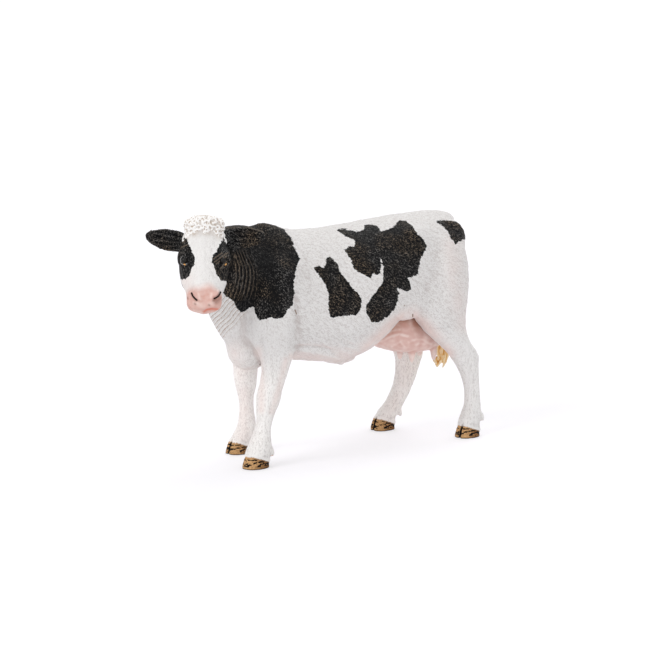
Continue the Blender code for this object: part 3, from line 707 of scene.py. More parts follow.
# Black patches. The left side's outlines are in pixels of the photograph. The right side doesn't show, so
# its outlines are made up, in the pixels that they would have if that side were mirrored to the left.
leftPatches = {
    "neck": [
        (226, 226), (230, 223), (238, 220), (246, 218), (252, 216), (270, 219), (280, 223), (284, 227),
        (287, 234), (291, 238), (293.5, 243), (293, 246), (296, 251), (298, 256), (300, 259), (298, 262),
        (296.5, 267), (295.5, 272), (295, 278), (293.5, 281), (293.5, 288), (294.5, 293), (293, 297),
        (293, 303), (292, 306), (288, 309), (286, 313), (284, 317), (280, 318), (274, 318.5),
        (270, 317.5), (265, 319), (260, 320.5), (257, 317), (254.5, 311), (254, 307), (250, 308),
        (246, 310), (241, 312), (237, 308), (234, 303), (231, 299), (228, 297.5), (224, 295), (223, 292),
        (225, 288), (226.5, 283), (227, 279)
    ],
    "leftEye": [
        (228, 281), (222, 281), (218, 277), (215, 271), (213, 265), (211.5, 260), (213, 256), (216, 252),
        (218, 247), (221, 242), (224, 237), (226, 233), (226, 228), (232, 228)
    ],
    "rightEye": [
        (140, 226), (167, 226), (182, 232.5), (184, 236), (187, 239), (189, 244), (191, 249), (194, 255),
        (195, 260), (193.5, 266), (191, 271), (189, 275), (186, 279), (184, 279.5), (180, 279),
        (176, 273), (172, 262), (168, 253), (150, 245)
    ],
    "rib": [
        (329.3, 256), (333.8, 260.6), (338.3, 265), (339.5, 271.4), (347.8, 280.4), (351, 286.7),
        (357.4, 291.8), (361.9, 300.8), (360.6, 309.7), (356, 315.4), (351, 314.8), (344.6, 316),
        (339.5, 316), (333.8, 317.5), (330, 317), (328, 307), (329, 297), (327.4, 289.3), (323.6, 281.6),
        (319, 275.3), (313.4, 269.5), (315.3, 266.3), (319, 265.7), (323.6, 267.6), (326, 263.8),
        (325.5, 258.7)
    ],
    "saddle": [
        (337, 230.5), (342, 228), (351, 230.6), (360, 231.6), (363.8, 229.3), (364.4, 225), (371.4, 224),
        (377.2, 226), (381, 231.3), (388, 229.3), (394.4, 225.5), (399.5, 220.4), (406, 221),
        (411.6, 225.5), (417.3, 233), (426.3, 244), (425.6, 249), (421.2, 257.4), (419.3, 266.3),
        (418, 274), (414.2, 276.5), (407.8, 277.8), (410.3, 284.2), (411, 289.3), (407, 291.8),
        (399.5, 288.6), (397.6, 286.7), (395.7, 288), (399, 293.8), (397.6, 302), (393, 311), (387, 317),
        (378, 323), (371, 322), (366, 313), (366.3, 306), (371.4, 297), (377.8, 289.3), (381.6, 284.2),
        (383.5, 276.5), (383.5, 266.3), (381, 257.5), (381, 266.3), (380.4, 272.7), (376.5, 275.3),
        (373.3, 272.7), (370.8, 277.8), (366.3, 276.5), (360, 272.7), (354.8, 269), (351.7, 261.2),
        (344, 249.7), (349.7, 246.6), (354.8, 246.6), (354.8, 240.8), (348.5, 237.6), (342, 233.8)
    ],
    "rump": [
        (437, 220.4), (444, 219.8), (451.8, 221), (459.4, 221.5), (468, 228), (470, 238), (462, 240.2),
        (455.4, 244), (451.8, 239.5), (446.7, 230), (441.6, 225.5), (437, 221.7)
    ],
}
rightPatches = {
    "neck": [
        (160, 212), (200, 214), (238, 219), (252, 219), (270, 219), (280, 223), (284, 227), (290, 233),
        (299, 241), (304, 251), (301, 262), (306, 272), (301, 284), (293, 290), (288, 301), (279, 308),
        (270, 305), (264, 296), (255, 292), (247, 297), (238, 291), (230, 283), (216, 279), (202, 274),
        (186, 268), (172, 262), (160, 250)
    ],
    "side": [
        (318, 238), (330, 232), (344, 235), (356, 230), (368, 233), (377, 241), (374, 250), (381, 259),
        (379, 271), (370, 278), (362, 274), (356, 283), (353, 295), (344, 302), (333, 299), (326, 288),
        (329, 277), (321, 267), (314, 255), (311, 245)
    ],
    "thigh": [
        (404, 229), (417, 223), (429, 226), (440, 232), (447, 244), (444, 257), (449, 269), (443, 282),
        (432, 290), (421, 285), (413, 273), (417, 261), (408, 252), (401, 240)
    ],
    "flank": [
        (376, 303), (386, 297), (395, 302), (394, 313), (383, 320), (374, 314)
    ],
    "rump": [
        (450, 219), (459.4, 221.5), (468, 228), (470, 238), (462, 239), (455, 231)
    ],
}

patchEdges = {
    "wobble": ((3.4, (1, 0, 0), 5.0, 1, 7.7), (1.8, (1, 0, 0.4), 1.9, 1.6, 2.7)),  # only on the right
    "pixelsPerMillimetre": 3,
    "neckFrom": -14,
    "nape": {"behindPoll": 8.5, "belowPoll": 18, "from": -20, "above": 60},
    "napeAbove": 55,
    "legsBelow": 30,
    "deepest": 5,
}


def rounded(outline, rounds=2):  # corners cut off, twice over
    for _ in range(rounds):
        cut = []
        for first, last in zip(np.array(outline), np.array([*outline[1:], outline[0]])):
            cut += [tuple(0.75 * first + 0.25 * last), tuple(0.25 * first + 0.75 * last)]
        outline = cut
    return outline


def patchDepth(points, normals):  # millimetres into the black paint, negative on the white
    across, down = pixelsOf(points)
    left = np.max([insideDistance(across, down, outline) for outline in leftPatches.values()], axis=0)
    across, down = pixelsOf(points * (1, -1, 1))
    outlines = [rounded(outline) for outline in rightPatches.values()]
    right = np.max([insideDistance(across, down, outline) for outline in outlines], axis=0)
    for size, *lie in patchEdges["wobble"]:
        right += size * grain(points, *lie)
    facing = normals @ toCamera
    onNeck = points[:, 0] < patchEdges["neckFrom"]
    leftness = np.where(onNeck, facing, -points[:, 1])
    leftness = np.where(headMask(points) > 0.5, 1, leftness)
    scale, deepest, limits = patchEdges["pixelsPerMillimetre"], patchEdges["deepest"], patchEdges["nape"]
    depth = np.where(leftness > 0, left, right) / scale
    _, below, out = headShares(points)
    nape = np.min([-limits["behindPoll"] - out, limits["belowPoll"] - below, limits["from"] - points[:, 0],
                   points[:, 2] - limits["above"]], axis=0)
    turned = onNeck & (facing < 0.3) & (points[:, 2] > patchEdges["napeAbove"])
    depth = np.where(turned, np.maximum(depth, nape), depth)
    depth = np.where(turned & (facing > -0.3), np.maximum(depth, left / scale), depth)
    return np.where(points[:, 2] < patchEdges["legsBelow"], -deepest, np.clip(depth, -deepest, deepest))


# Strokes of paint: a line in pixels of the photograph, its width, its strength. The face's stay on the head.
faceStrokes = {
    "lips": [([(204, 311.6), (207, 309.6), (211, 308.8), (217, 309.2)], 1.1, 0.9)],
    # painted shade below the nostrils, and small dark specks on the muzzle
    "soot": [([(219.5, 298), (216.0, 301.5)], 2.8, 0.7), ([(216, 299.6), (213.6, 300.6)], 1.4, 1.0),
             ([(198.4, 300.6), (195.6, 300.2)], 0.9, 0.5), ([(194.8, 303.8), (195.4, 304.4)], 1.0, 0.7),
             ([(208.8, 304.8), (209.4, 305.4)], 1.0, 0.7), ([(187.4, 297.6), (187.9, 298.6)], 1.0, 0.7)],
    # painted highlights on the upper lip's pads, the chin and the bridge of the nose
    "pads": [([(196, 303.5), (202, 305.8)], 2.8, 1.0), ([(209.5, 303.6), (213, 303.2)], 2.2, 1.0),
             ([(193, 310.8), (202, 312.8)], 1.4, 1.0), ([(198.5, 294), (199.5, 299)], 1.4, 1.0),
             ([(211.5, 293.5), (211, 297)], 1.4, 1.0), ([(199, 286), (206, 286)], 3.0, 1.0)],
    "tears": [([(184.0, 264.3), (185.0, 264.7)], 0.85, 1.0), ([(225.4, 264.8), (226.2, 264.0)], 0.85, 1.0)],
}
bodyStrokes = {
    # pink paint, partly painted shade: along the arch over the udder, under the belly and at the legs' edges
    "pinkWash": [
        ([(366, 350), (380, 338), (392, 326), (404, 317), (413, 315),
          (424, 325), (436, 340), (448, 354)], 7, 0.85),
        ([(292, 357), (312, 358), (330, 361), (343, 362), (360, 354)], 4, 0.6),
        ([(452, 246), (455, 275), (458, 300), (464, 325)], 9, 0.3),
        ([(236, 350), (240, 380), (244, 410), (242, 436)], 10, 0.38),
        ([(258, 350), (262, 380), (261, 410)], 4, 0.45),
        ([(395, 355), (406, 380), (398, 405), (388, 416)], 14, 0.22),
        ([(384, 352), (400, 352), (416, 350)], 5, 0.55),
        ([(286, 360), (280, 385), (272, 412)], 3.5, 0.45),
        ([(184, 276), (188, 290)], 8, 0.35),
    ],
    "fleck": [([(294.8, 309.6), (296.6, 314.2)], 0.85, 1.0), ([(412.8, 314.2), (412.8, 316.8)], 0.85, 1.0),
              ([(259.8, 364.2), (260.2, 364.8)], 0.85, 1.0), ([(404.4, 305.4), (404.8, 305.8)], 0.85, 1.0)],
    "clawTips": [([(271.6, 457.6), (272.4, 456.2)], 1.5, 1.0)],
    "foreheadShade": [([(213, 240), (210.5, 250), (210, 262), (211, 276)], 3.6, 0.75)],
}

# Painted light: how much whiter each leg is painted than the trunk, and the head, most on the far legs that
# lie in the body's shadow. The wool reaches down the forehead.
paler = {
    "foreleg_left": 0.67,
    "foreleg_right": 0.95,
    "hindleg_left": 0.24,
    "hindleg_right": 1.0,
    "head": 0.35,
}
wool = {"reach": 4.4, "beside": (-8.0, -7.0), "behind": (-11.5, -8.5)}


def paleness(points):
    left = points[:, 1] < 1.5
    fore = np.where(left, paler["foreleg_left"], paler["foreleg_right"])
    hind = np.where(left, paler["hindleg_left"], paler["hindleg_right"])
    leg = np.where(points[:, 0] < 10, fore, hind) * (1 - smoothStep(*coat["legTop"], points[:, 2]))
    return np.maximum(leg, paler["head"] * headMask(points))


def woolliness(points):
    left, downFace, out = headShares(points)
    reach = wool["reach"] + 0.03 * left ** 2 + 0.5 * np.sin(left * 1.9) - 0.6 * np.clip(-out - 2.5, 0, 9)
    woolly = headMask(points) * smoothStep(-1.8, 1.8, reach - downFace)
    return woolly * smoothStep(*wool["beside"], -np.abs(left)) * smoothStep(*wool["behind"], out)


def paintSkin(obj):
    points, normals = placesOf(obj), normalsOf(obj)
    across, down = pixelsOf(points)
    onHead = headMask(points)
    seen = smoothStep(-0.05, 0.2, normals @ toCamera)
    onFace = seen * onHead
    made = {name: strokes(across, down, rows) * onFace for name, rows in faceStrokes.items()}
    drawn = {name: strokes(across, down, rows) for name, rows in bodyStrokes.items()}
    claws = drawn["clawTips"] * seen * (points[:, 2] < hoof["top"])
    made["ochre"] = np.maximum(made.pop("tears"), claws)
    setAttributes(obj, **made, **neckCounts(points, normals))
    # painted shade: surfaces that face down are tinted pink
    belly = 0.5 * smoothStep(0.5, 0.95, -normals[:, 2])
    setAttributes(obj, pinkWash=np.clip(np.maximum(drawn["pinkWash"] * seen, belly), 0, 1),
                  fleck=drawn["fleck"] * seen * (1 - onHead),
                  smoothHair=onHead * (1 - drawn["foreheadShade"]))
    nostrilGap = lineDistance(across, down, *face["nostrils"])
    browGap = lineDistance(across, down, *face["browLines"])
    # painted highlight: a grey crescent on the lower, outer side of the right eye's lid
    fromEye = points - eyeCentre(-1)
    setAttributes(obj, nostrilGap=np.where(onFace > 0.3, nostrilGap, 9),
                  browGap=np.where(onFace > 0.2, browGap, 9),
                  eyeGap=np.minimum(np.linalg.norm(fromEye, axis=1), 9),
                  lid=smoothStep(-0.5, 0.5, fromEye @ (headDown * 0.6 - headLeft * 0.8)) * onHead)
    above, toe, side, ring = hoofCover(points)
    cleft = bell(side, 0.65) * smoothStep(0.50, 0.80, toe) * smoothStep(-0.6, 0.4, -above)
    setAttributes(obj, aboveCoronet=np.clip(above, -5, 6), hoofRing=ring, toe=toe, cleft=cleft)
    setAttributes(obj, blackPatch=patchDepth(points, normals), muzzle=muzzleMask(points),
                  pale=paleness(points), hanging=hairFlow(points), forelock=woolliness(points),
                  crevice=creviceOf(obj, 3, normals), hollow=hollowOf(obj, normals))


paintSkin(skin)
print("skin painted")


def wire(node, inputs):  # inputs take a value or what another node gives
    for name, value in inputs.items():
        if isinstance(value, bpy.types.NodeSocket):
            node.id_data.links.new(value, node.inputs[name])
        else:
            node.inputs[name].default_value = value
    return node


def addNode(tree, kind, inputs, **settings):
    node = tree.nodes.new(kind)
    for name, value in settings.items():
        setattr(node, name, value)
    return wire(node, inputs)


def maths(operation, *values):  # it goes into the tree that its inputs come from
    tree = next(value.id_data for value in values if isinstance(value, bpy.types.NodeSocket))
    return addNode(tree, "ShaderNodeMath", dict(enumerate(values)), operation=operation).outputs[0]


def times(first, second):
    return maths("MULTIPLY", first, second)


def plus(first, second):
    return maths("ADD", first, second)


def minus(first, second):
    return maths("SUBTRACT", first, second)


def blended(share, first, second):
    tree = share.id_data
    ends = [value if isinstance(value, bpy.types.NodeSocket) else (*value, 1) for value in (first, second)]
    return addNode(tree, "ShaderNodeMix", {0: share, 6: ends[0], 7: ends[1]}, data_type="RGBA").outputs[2]


def ramped(value, low, high, toLow=0.0, toHigh=1.0):
    inputs = {"Value": value, "From Min": low, "From Max": high, "To Min": toLow, "To Max": toHigh}
    node = addNode(value.id_data, "ShaderNodeMapRange", inputs, interpolation_type="SMOOTHSTEP")
    return node.outputs["Result"]


def attribute(tree, name):
    return addNode(tree, "ShaderNodeAttribute", {}, attribute_name=name).outputs["Fac"]


def objectPlace(tree):
    return addNode(tree, "ShaderNodeTexCoord", {}).outputs["Object"]


def noiseOf(place, scale, detail=2.0, roughness=0.5):
    inputs = {"Vector": place, "Scale": scale, "Detail": detail, "Roughness": roughness}
    return addNode(place.id_data, "ShaderNodeTexNoise", inputs).outputs["Fac"]


def bumped(height, strength, distance):
    inputs = {"Strength": strength, "Distance": distance, "Height": height}
    return addNode(height.id_data, "ShaderNodeBump", inputs).outputs[0]


def newGroup(name, inputs, outputs):
    group = bpy.data.node_groups.new(name, "ShaderNodeTree")
    for label, value in inputs.items():
        kind = "NodeSocketVector" if isinstance(value, tuple) else "NodeSocketFloat"
        group.interface.new_socket(label, in_out="INPUT", socket_type=kind).default_value = value
    for label in outputs:
        group.interface.new_socket(label, in_out="OUTPUT", socket_type="NodeSocketFloat")
    return group, group.nodes.new("NodeGroupInput").outputs, group.nodes.new("NodeGroupOutput")


def makeHairGroup():  # hair strands: noise drawn out along the hair, finer and coarser together
    inputs = {"Place": (0.0, 0.0, 0.0), "Turn": (0.0, 0.0, 0.0), "Stretch": 3.4, "Scale": 3700.0}
    group, given, out = newGroup("hairStrands", inputs, ("Strands", "Tufts"))
    turning = {"Vector": given["Place"], "Rotation": given["Turn"]}
    turned = addNode(group, "ShaderNodeMapping", turning).outputs[0]
    thin = maths("DIVIDE", 1.0, given["Stretch"])
    drawn = addNode(group, "ShaderNodeCombineXYZ", {"X": 1.0, "Y": 1.0, "Z": thin}).outputs[0]
    scaled = addNode(group, "ShaderNodeMapping", {"Vector": turned, "Scale": drawn}).outputs[0]
    wire(out, {"Strands": noiseOf(scaled, given["Scale"], 3, 0.6),
               "Tufts": noiseOf(scaled, times(given["Scale"], 0.26), 2, 0.5)})
    return group


def makeBrushGroup():  # brushed paint: darker in the grooves, lighter on the ridges
    inputs = {"Crevice": 0.0, "Strands": 0.5, "Grooves": 1.0, "Contrast": 8.0}
    group, given, out = newGroup("brushedPaint", inputs, ("Groove", "Ridge"))
    rough = times(minus(given["Strands"], 0.5), given["Contrast"])
    bend = plus(times(given["Crevice"], given["Grooves"]), rough)
    wire(out, {"Groove": ramped(bend, -0.7, 1.7), "Ridge": ramped(bend, 0.3, -1.8)})
    return group


hairGroup = makeHairGroup()
brushGroup = makeBrushGroup()


def hairs(place, turn, **settings):  # strands and tufts of hair that lie turned by some degrees
    node = addNode(place.id_data, "ShaderNodeGroup", {}, node_tree=hairGroup)
    return wire(node, {"Place": place, "Turn": (0.0, math.radians(turn), 0.0), **settings}).outputs


def brushed(strands, **settings):
    tree = strands.id_data
    node = addNode(tree, "ShaderNodeGroup", {}, node_tree=brushGroup)
    return wire(node, {"Crevice": attribute(tree, "crevice"), "Strands": strands, **settings}).outputs


def newMaterial(name):
    material = bpy.data.materials.new(name)
    material.use_nodes = True
    tree = material.node_tree
    return material, tree, tree.nodes["Principled BSDF"]


paint = {
    "white": (0.745, 0.73, 0.72),
    "legWhite": (0.95, 0.925, 0.90),
    "woolWhite": (0.87, 0.855, 0.84),
    "whiteGroove": (0.50, 0.46, 0.445),
    "whiteDeep": (0.50, 0.44, 0.42),
    "black": (0.004, 0.004, 0.0045),
    "blackRidge": (0.125, 0.120, 0.115),
    "blackWorn": (0.175, 0.132, 0.092),
    "foldOnWhite": (0.36, 0.25, 0.19),
    "foldOnBlack": (0.150, 0.115, 0.085),
    # painted highlight on the ears' rims
    "rim": (0.17, 0.145, 0.12),
    "pink": (0.80, 0.60, 0.55),
    "muzzlePink": (0.66, 0.435, 0.385),
    "muzzleDeep": (0.60, 0.31, 0.25),
    "muzzlePale": (0.82, 0.64, 0.58),
    "lipRed": (0.62, 0.18, 0.12),
    "soot": (0.25, 0.13, 0.10),
    "lid": (0.30, 0.29, 0.29),
    "nostril": (0.02, 0.012, 0.010),
    "horn": (0.21, 0.095, 0.033),
    "hornLight": (0.63, 0.375, 0.175),
    "ochre": (0.75, 0.38, 0.12),
    "brown": (0.20, 0.13, 0.09),
    "forelockShade": (0.43, 0.33, 0.25),
    "udder": (0.70, 0.47, 0.42),
    "udderPale": (0.82, 0.66, 0.61),
    "udderShade": (0.33, 0.12, 0.06),
    "udderGroove": (0.50, 0.22, 0.17),
    "udderRidge": (0.90, 0.78, 0.73),
    "switch": (0.84, 0.52, 0.19),
    "switchGroove": (0.58, 0.25, 0.035),
    "switchRidge": (0.93, 0.82, 0.60),
    "eye": (0.006, 0.005, 0.004),
}


def striped(tree, name, at, width):  # thin lines at one share of each fold's width
    share = maths("FRACT", plus(attribute(tree, name), 1 - at))
    line = ramped(maths("ABSOLUTE", minus(share, 0.5)), width, width * 0.4)
    return times(line, attribute(tree, name + "Share"))


def paintWhite(tree, place, strands, tufts):  # white hair with darker grooves, painted shade in hollows, pink paint with painted shade, painted light on legs and head, and folds
    groove = times(brushed(strands, Grooves=0.8, Contrast=15.0)["Groove"],
                   ramped(attribute(tree, "hanging"), 0.0, 1.0, 0.64, 0.52))
    groove = times(groove, ramped(attribute(tree, "smoothHair"), 0.0, 1.0, 1.0, 0.4))
    # painted light: legs and head turn to a brighter white by their shares
    colour = blended(attribute(tree, "pale"), paint["white"], paint["legWhite"])
    colour = blended(groove, colour, paint["whiteGroove"])
    # painted shade: the white turns grey where the surface lies in a wide hollow
    colour = blended(ramped(attribute(tree, "hollow"), 0.02, 0.45, 0.0, 0.5), colour, paint["whiteDeep"])
    wash = times(attribute(tree, "pinkWash"), ramped(noiseOf(place, 160), 0.25, 0.6, 0.5, 1.0))
    colour = blended(times(wash, 0.75), colour, paint["pink"])
    curls = times(attribute(tree, "forelock"), ramped(tufts, 0.30, 0.55, 0.9, 0.35))
    colour = blended(curls, colour, paint["forelockShade"])
    fold = times(striped(tree, "slant", 0.65, 0.15), ramped(strands, 0.35, 0.6, 0.25, 1.0))
    return blended(fold, colour, paint["foldOnWhite"])


def paintBlack(tree, place, strands):  # black hair with ridges brushed grey and brown, folds and brow lines, and a painted highlight along the ears' rims
    worn = ramped(noiseOf(place, 110), 0.38, 0.68)
    standing = ramped(attribute(tree, "hollow"), 0.06, -0.22, 0.40, 0.95)
    ridge = times(ramped(brushed(strands, Grooves=0.2, Contrast=22.0)["Ridge"], 0.80, 1.0), standing)
    dark = blended(ridge, paint["black"], blended(worn, paint["blackRidge"], paint["blackWorn"]))
    fold = times(striped(tree, "hang", 0.5, 0.15), ramped(strands, 0.35, 0.6, 0.25, 1.0))
    dark = blended(times(fold, 0.6), dark, paint["foldOnBlack"])
    dark = blended(ramped(attribute(tree, "browGap"), 0.9, 0.4, 0.0, 0.6), dark, paint["foldOnBlack"])
    return blended(attribute(tree, "rim"), dark, paint["rim"])


def paintFace(tree, place, colour):  # the muzzle's flesh with painted highlights on its pads, then lips, painted shade and specks, a painted highlight on the lids, nostrils and small strokes
    mottle = ramped(noiseOf(place, 900, 3), 0.35, 0.75, 0.0, 0.55)
    flesh = blended(mottle, paint["muzzlePink"], paint["muzzleDeep"])
    flesh = blended(times(attribute(tree, "pads"), 0.6), flesh, paint["muzzlePale"])
    offRing = maths("ABSOLUTE", minus(attribute(tree, "eyeGap"), 1.36))
    layers = (
        (attribute(tree, "muzzle"), flesh),
        (attribute(tree, "lips"), paint["lipRed"]),
        (attribute(tree, "soot"), paint["soot"]),
        (times(attribute(tree, "lid"), ramped(offRing, 0.16, 0.06, 0.0, 0.8)), paint["lid"]),
        (ramped(attribute(tree, "nostrilGap"), 1.15, 0.6), paint["nostril"]),
        (ramped(attribute(tree, "ochre"), 0.4, 0.7), paint["ochre"]),
        (ramped(attribute(tree, "fleck"), 0.45, 0.8), paint["brown"]),
    )
    for share, layer in layers:
        colour = blended(share, colour, layer)
    return colour


def paintHoof(tree, place, strands, colour):  # horn with broken black rings, a black cleft and sole's edge
    above, front = attribute(tree, "aboveCoronet"), attribute(tree, "toe")
    level = addNode(tree, "ShaderNodeMapping", {"Vector": place, "Scale": (1.0, 1.0, 2.2)}).outputs[0]
    ring = maths("SINE", times(attribute(tree, "hoofRing"), math.tau / hoof["rings"]))
    stroke = plus(ring, times(minus(noiseOf(level, 1000), 0.5), 7.0))
    stroke = plus(stroke, ramped(front, 0.35, 0.9, -0.55, 0.35))
    height = addNode(tree, "ShaderNodeSeparateXYZ", {0: place}).outputs["Z"]
    lines = times(ramped(stroke, 0.05, -0.35), ramped(above, -0.15, -0.5))
    lines = times(lines, ramped(height, 0.0006, 0.0012))
    inked = maths("MAXIMUM", lines, ramped(height, 0.0006, 0.0002, 0.0, 0.9))
    inked = maths("MAXIMUM", inked, ramped(attribute(tree, "cleft"), 0.4, 0.7))
    # the horn's own mottled tone, lighter towards the toe as a painted highlight
    worn = plus(noiseOf(level, 2200), ramped(front, 0.2, 0.95, -0.25, 0.15))
    horn = blended(ramped(worn, 0.2, 0.8), paint["horn"], paint["hornLight"])
    horn = blended(inked, horn, paint["black"])
    hairy = plus(above, times(minus(strands, 0.5), 1.6))
    return blended(ramped(hairy, 0.08, -0.08), colour, horn)


def makeCoat():
    material, tree, shader = newMaterial("paintedCoat")
    place = objectPlace(tree)
    slanted, hung = hairs(place, 53), hairs(place, 3)
    hanging = attribute(tree, "hanging")
    strands, tufts = (addNode(tree, "ShaderNodeMix", {0: hanging, 2: slanted[name], 3: hung[name]}).outputs[0]
                      for name in ("Strands", "Tufts"))
    fray = plus(times(minus(tufts, 0.5), 1.3), times(minus(strands, 0.5), 1.0))
    black = ramped(plus(attribute(tree, "blackPatch"), fray), -0.06, 0.06)
    colour = blended(black, paintWhite(tree, place, strands, tufts), paintBlack(tree, place, strands))
    colour = paintHoof(tree, place, strands, paintFace(tree, place, colour))
    muzzle = attribute(tree, "muzzle")
    relief = times(plus(strands, times(tufts, 0.45)), ramped(muzzle, 0.0, 1.0, 1.0, 0.25))
    rough = plus(ramped(strands, 0.3, 0.7, 0.52, 0.64), times(muzzle, -0.14))
    wire(shader, {"Base Color": colour, "Roughness": rough, "Specular IOR Level": 0.07,
                  "Normal": bumped(relief, 0.9, 0.00028)})
    return material


coatMaterial = makeCoat()
print("coat material made")


def rootsOfCurls():  # where the head is woolly, as places, normals and shares
    woolly = readValues(skin.data.attributes["forelock"].data, "value", 1)[:, 0]
    points, normals = placesOf(skin), normalsOf(skin)
    return [(Vector(points[k]), Vector(normals[k]), float(woolly[k])) for k in np.nonzero(woolly > 0.5)[0]]


forelockRoots = rootsOfCurls()
print(len(forelockRoots), "places for curls")


def facesOf(index, node, owner):  # the faces of the skin that one moulding owns, with the seams closed
    piece = newObject(node, skin.data.copy())
    shape = bmesh.new()
    shape.from_mesh(piece.data)
    shape.faces.ensure_lookup_table()
    others = [face for face in shape.faces if owner[face.index] != index]
    bmesh.ops.delete(shape, geom=others, context="FACES")
    rim = [edge for edge in shape.edges if edge.is_boundary]
    bmesh.ops.holes_fill(shape, edges=rim, sides=0)
    for edge in rim:
        edge.smooth = False
    shape.to_mesh(piece.data)
    shape.free()
    return piece


def partSkin():  # each face goes to the moulding that lies nearest
    centres = readValues(skin.data.polygons, "center", 3) / mm
    trees = [surfaceOf(node) for node in coat["nodes"]]
    owner = np.zeros(len(centres), int)
    for index, centre in enumerate(centres.tolist()):
        gaps = [tree.find_nearest(centre, 6)[3] for tree in trees]
        owner[index] = min(range(len(gaps)), key=lambda k: 1e9 if gaps[k] is None else gaps[k])
    for index, node in enumerate(coat["nodes"]):
        piece = facesOf(index, node, owner)
        finishPiece(piece, node + "_coat", [node], coatMaterial)
        print(piece.name, len(piece.data.polygons), "faces")
    bpy.data.objects.remove(skin)


partSkin()


def makeEyes():  # glossy balls in the lids
    material, _, shader = newMaterial("eyeGloss")
    wire(shader, {"Base Color": (*paint["eye"], 1), "Roughness": 0.22, "Specular IOR Level": 0.22})
    for side in (-1, 1):
        bpy.ops.mesh.primitive_uv_sphere_add(segments=48, ring_count=24, radius=face["eyeRadius"] * mm,
                                             location=Vector(eyeCentre(side)) * mm)
        eyeball = bpy.context.object
        bpy.ops.object.transform_apply()
        finishPiece(eyeball, "eye_left" if side > 0 else "eye_right", [], material)


makeEyes()
print("eyes made")

# Udder: four quarters with veins and teats, with painted shade, darker and redder, where it meets the belly
udder = {
    "voxel": 0.26,
    "quickVoxel": 0.5,
    "smoothing": 8,
    "teats": 6,
    "groove": 0.45,
    "grooveWidths": (1.1, 1.2),
    "arch": [([(389, 329), (395, 324), (400, 320), (406, 318.5), (413, 319.5), (418, 324)], 7.5, 0.8)],
    "veins": [([(375, 343), (384, 340), (391, 336), (399, 334), (407, 336)], 1.7, 0.18),
              ([(386, 334), (392, 331), (399, 330)], 1.7, 0.18),
              ([(409, 342), (416, 339), (423, 340), (431, 344)], 1.7, 0.18),
              ([(392, 346), (400, 342), (404, 346)], 1.7, 0.18)],
    "lumps": 0.22,
}


def makeUdderMaterial():
    material, tree, shader = newMaterial("udderSkin")
    mottle = noiseOf(objectPlace(tree), 300)
    line = plus(attribute(tree, "height"), times(minus(mottle, 0.5), 0.45))
    colour = blended(ramped(line, 0.30, -0.05, 0.0, 0.6), paint["udder"], paint["udderPale"])
    shaded = times(attribute(tree, "underArch"), ramped(mottle, 0.2, 0.6, 0.75, 1.0))
    colour = blended(shaded, colour, paint["udderShade"])
    brush = brushed(mottle, Contrast=3.0)
    colour = blended(times(brush["Groove"], 0.45), colour, paint["udderGroove"])
    colour = blended(times(brush["Ridge"], 0.45), colour, paint["udderRidge"])
    wire(shader, {"Base Color": colour, "Roughness": 0.42, "Normal": bumped(mottle, 0.45, 0.00012)})
    return material


def makeUdder():
    bag = denseCopy("udder", udder)
    points, normals = placesOf(bag), normalsOf(bag)
    low, high = points.min(axis=0), points.max(axis=0)
    body = points[points[:, 2] > low[2] + udder["teats"]]
    middle = (body.min(axis=0) + body.max(axis=0)) / 2
    height = points[:, 2] - low[2]
    aboveTeats = smoothStep(3.5, 5.5, height)
    under = smoothStep(0.1, 0.7, -normals[:, 2]) * aboveTeats
    sides = smoothStep(-0.4, 0.1, -normals[:, 2]) * aboveTeats
    behind = smoothStep(0.1, 0.6, normals[:, 0]) * smoothStep(3.5, 6.5, height)
    lengthwise, crosswise = udder["grooveWidths"]
    move = -udder["groove"] * bell(points[:, 1] - middle[1], lengthwise) * np.maximum(under, 1.5 * behind)
    move -= 0.7 * udder["groove"] * bell(points[:, 0] - middle[0] - 1.0, crosswise) * sides
    across, down = pixelsOf(leftOf(points))
    move += strokes(across, down, udder["veins"], np.add) * smoothStep(0.2, 0.6, np.abs(normals[:, 1]))
    move += udder["lumps"] * grain(points, (1, 0, -0.3), 1.7, 2.0, 6.1)
    setPlaces(bag, points + normals * move[:, None])
    setAttributes(bag, underArch=strokes(across, down, udder["arch"]), height=height / (high[2] - low[2]),
                  crevice=creviceOf(bag, 3, normals))
    finishPiece(bag, "udder_bag", ["udder"], makeUdderMaterial())


makeUdder()
print("udder made")

# Ears: cupped, with folds inside and fringed rims. Numbers in millimetres and in shares of the ear.
ears = {
    "voxel": 0.2,
    "quickVoxel": 0.35,
    "smoothing": 6,
    "cup": 0.7,
    "fold": 0.34,
    "folds": 4.2,
    "hair": 0.14,
    "fringe": 0.22,
    "rimShare": {"ear_left": 0.8, "ear_right": 0.2},
    "droop": 0.6,
    "tuft": [([(150.2, 229.6)], 1.1, 1.0)],
    "tuftReach": (1.3, 0.45),
    "far": 5.0,
}


def earShares(points):  # the ear's directions, and where each point lies along it and beside its middle
    middle = points.mean(axis=0)
    sample = points[:: len(points) // 3000 + 1] - middle
    course, width, opening = np.linalg.svd(sample, full_matrices=False)[2]
    course *= np.sign(course @ (middle - poll))
    opening *= np.sign(opening @ headOut)
    along = (points - middle) @ course
    along = (along - along.min()) / (along.max() - along.min())
    aside = (points - middle) @ width
    half = np.maximum(np.abs(aside).max() * np.sqrt(np.clip(1 - (2 * along - 1.05) ** 2, 0.05, 1)), 0.8)
    return course, width, opening, along, np.clip(aside / half, -1, 1)


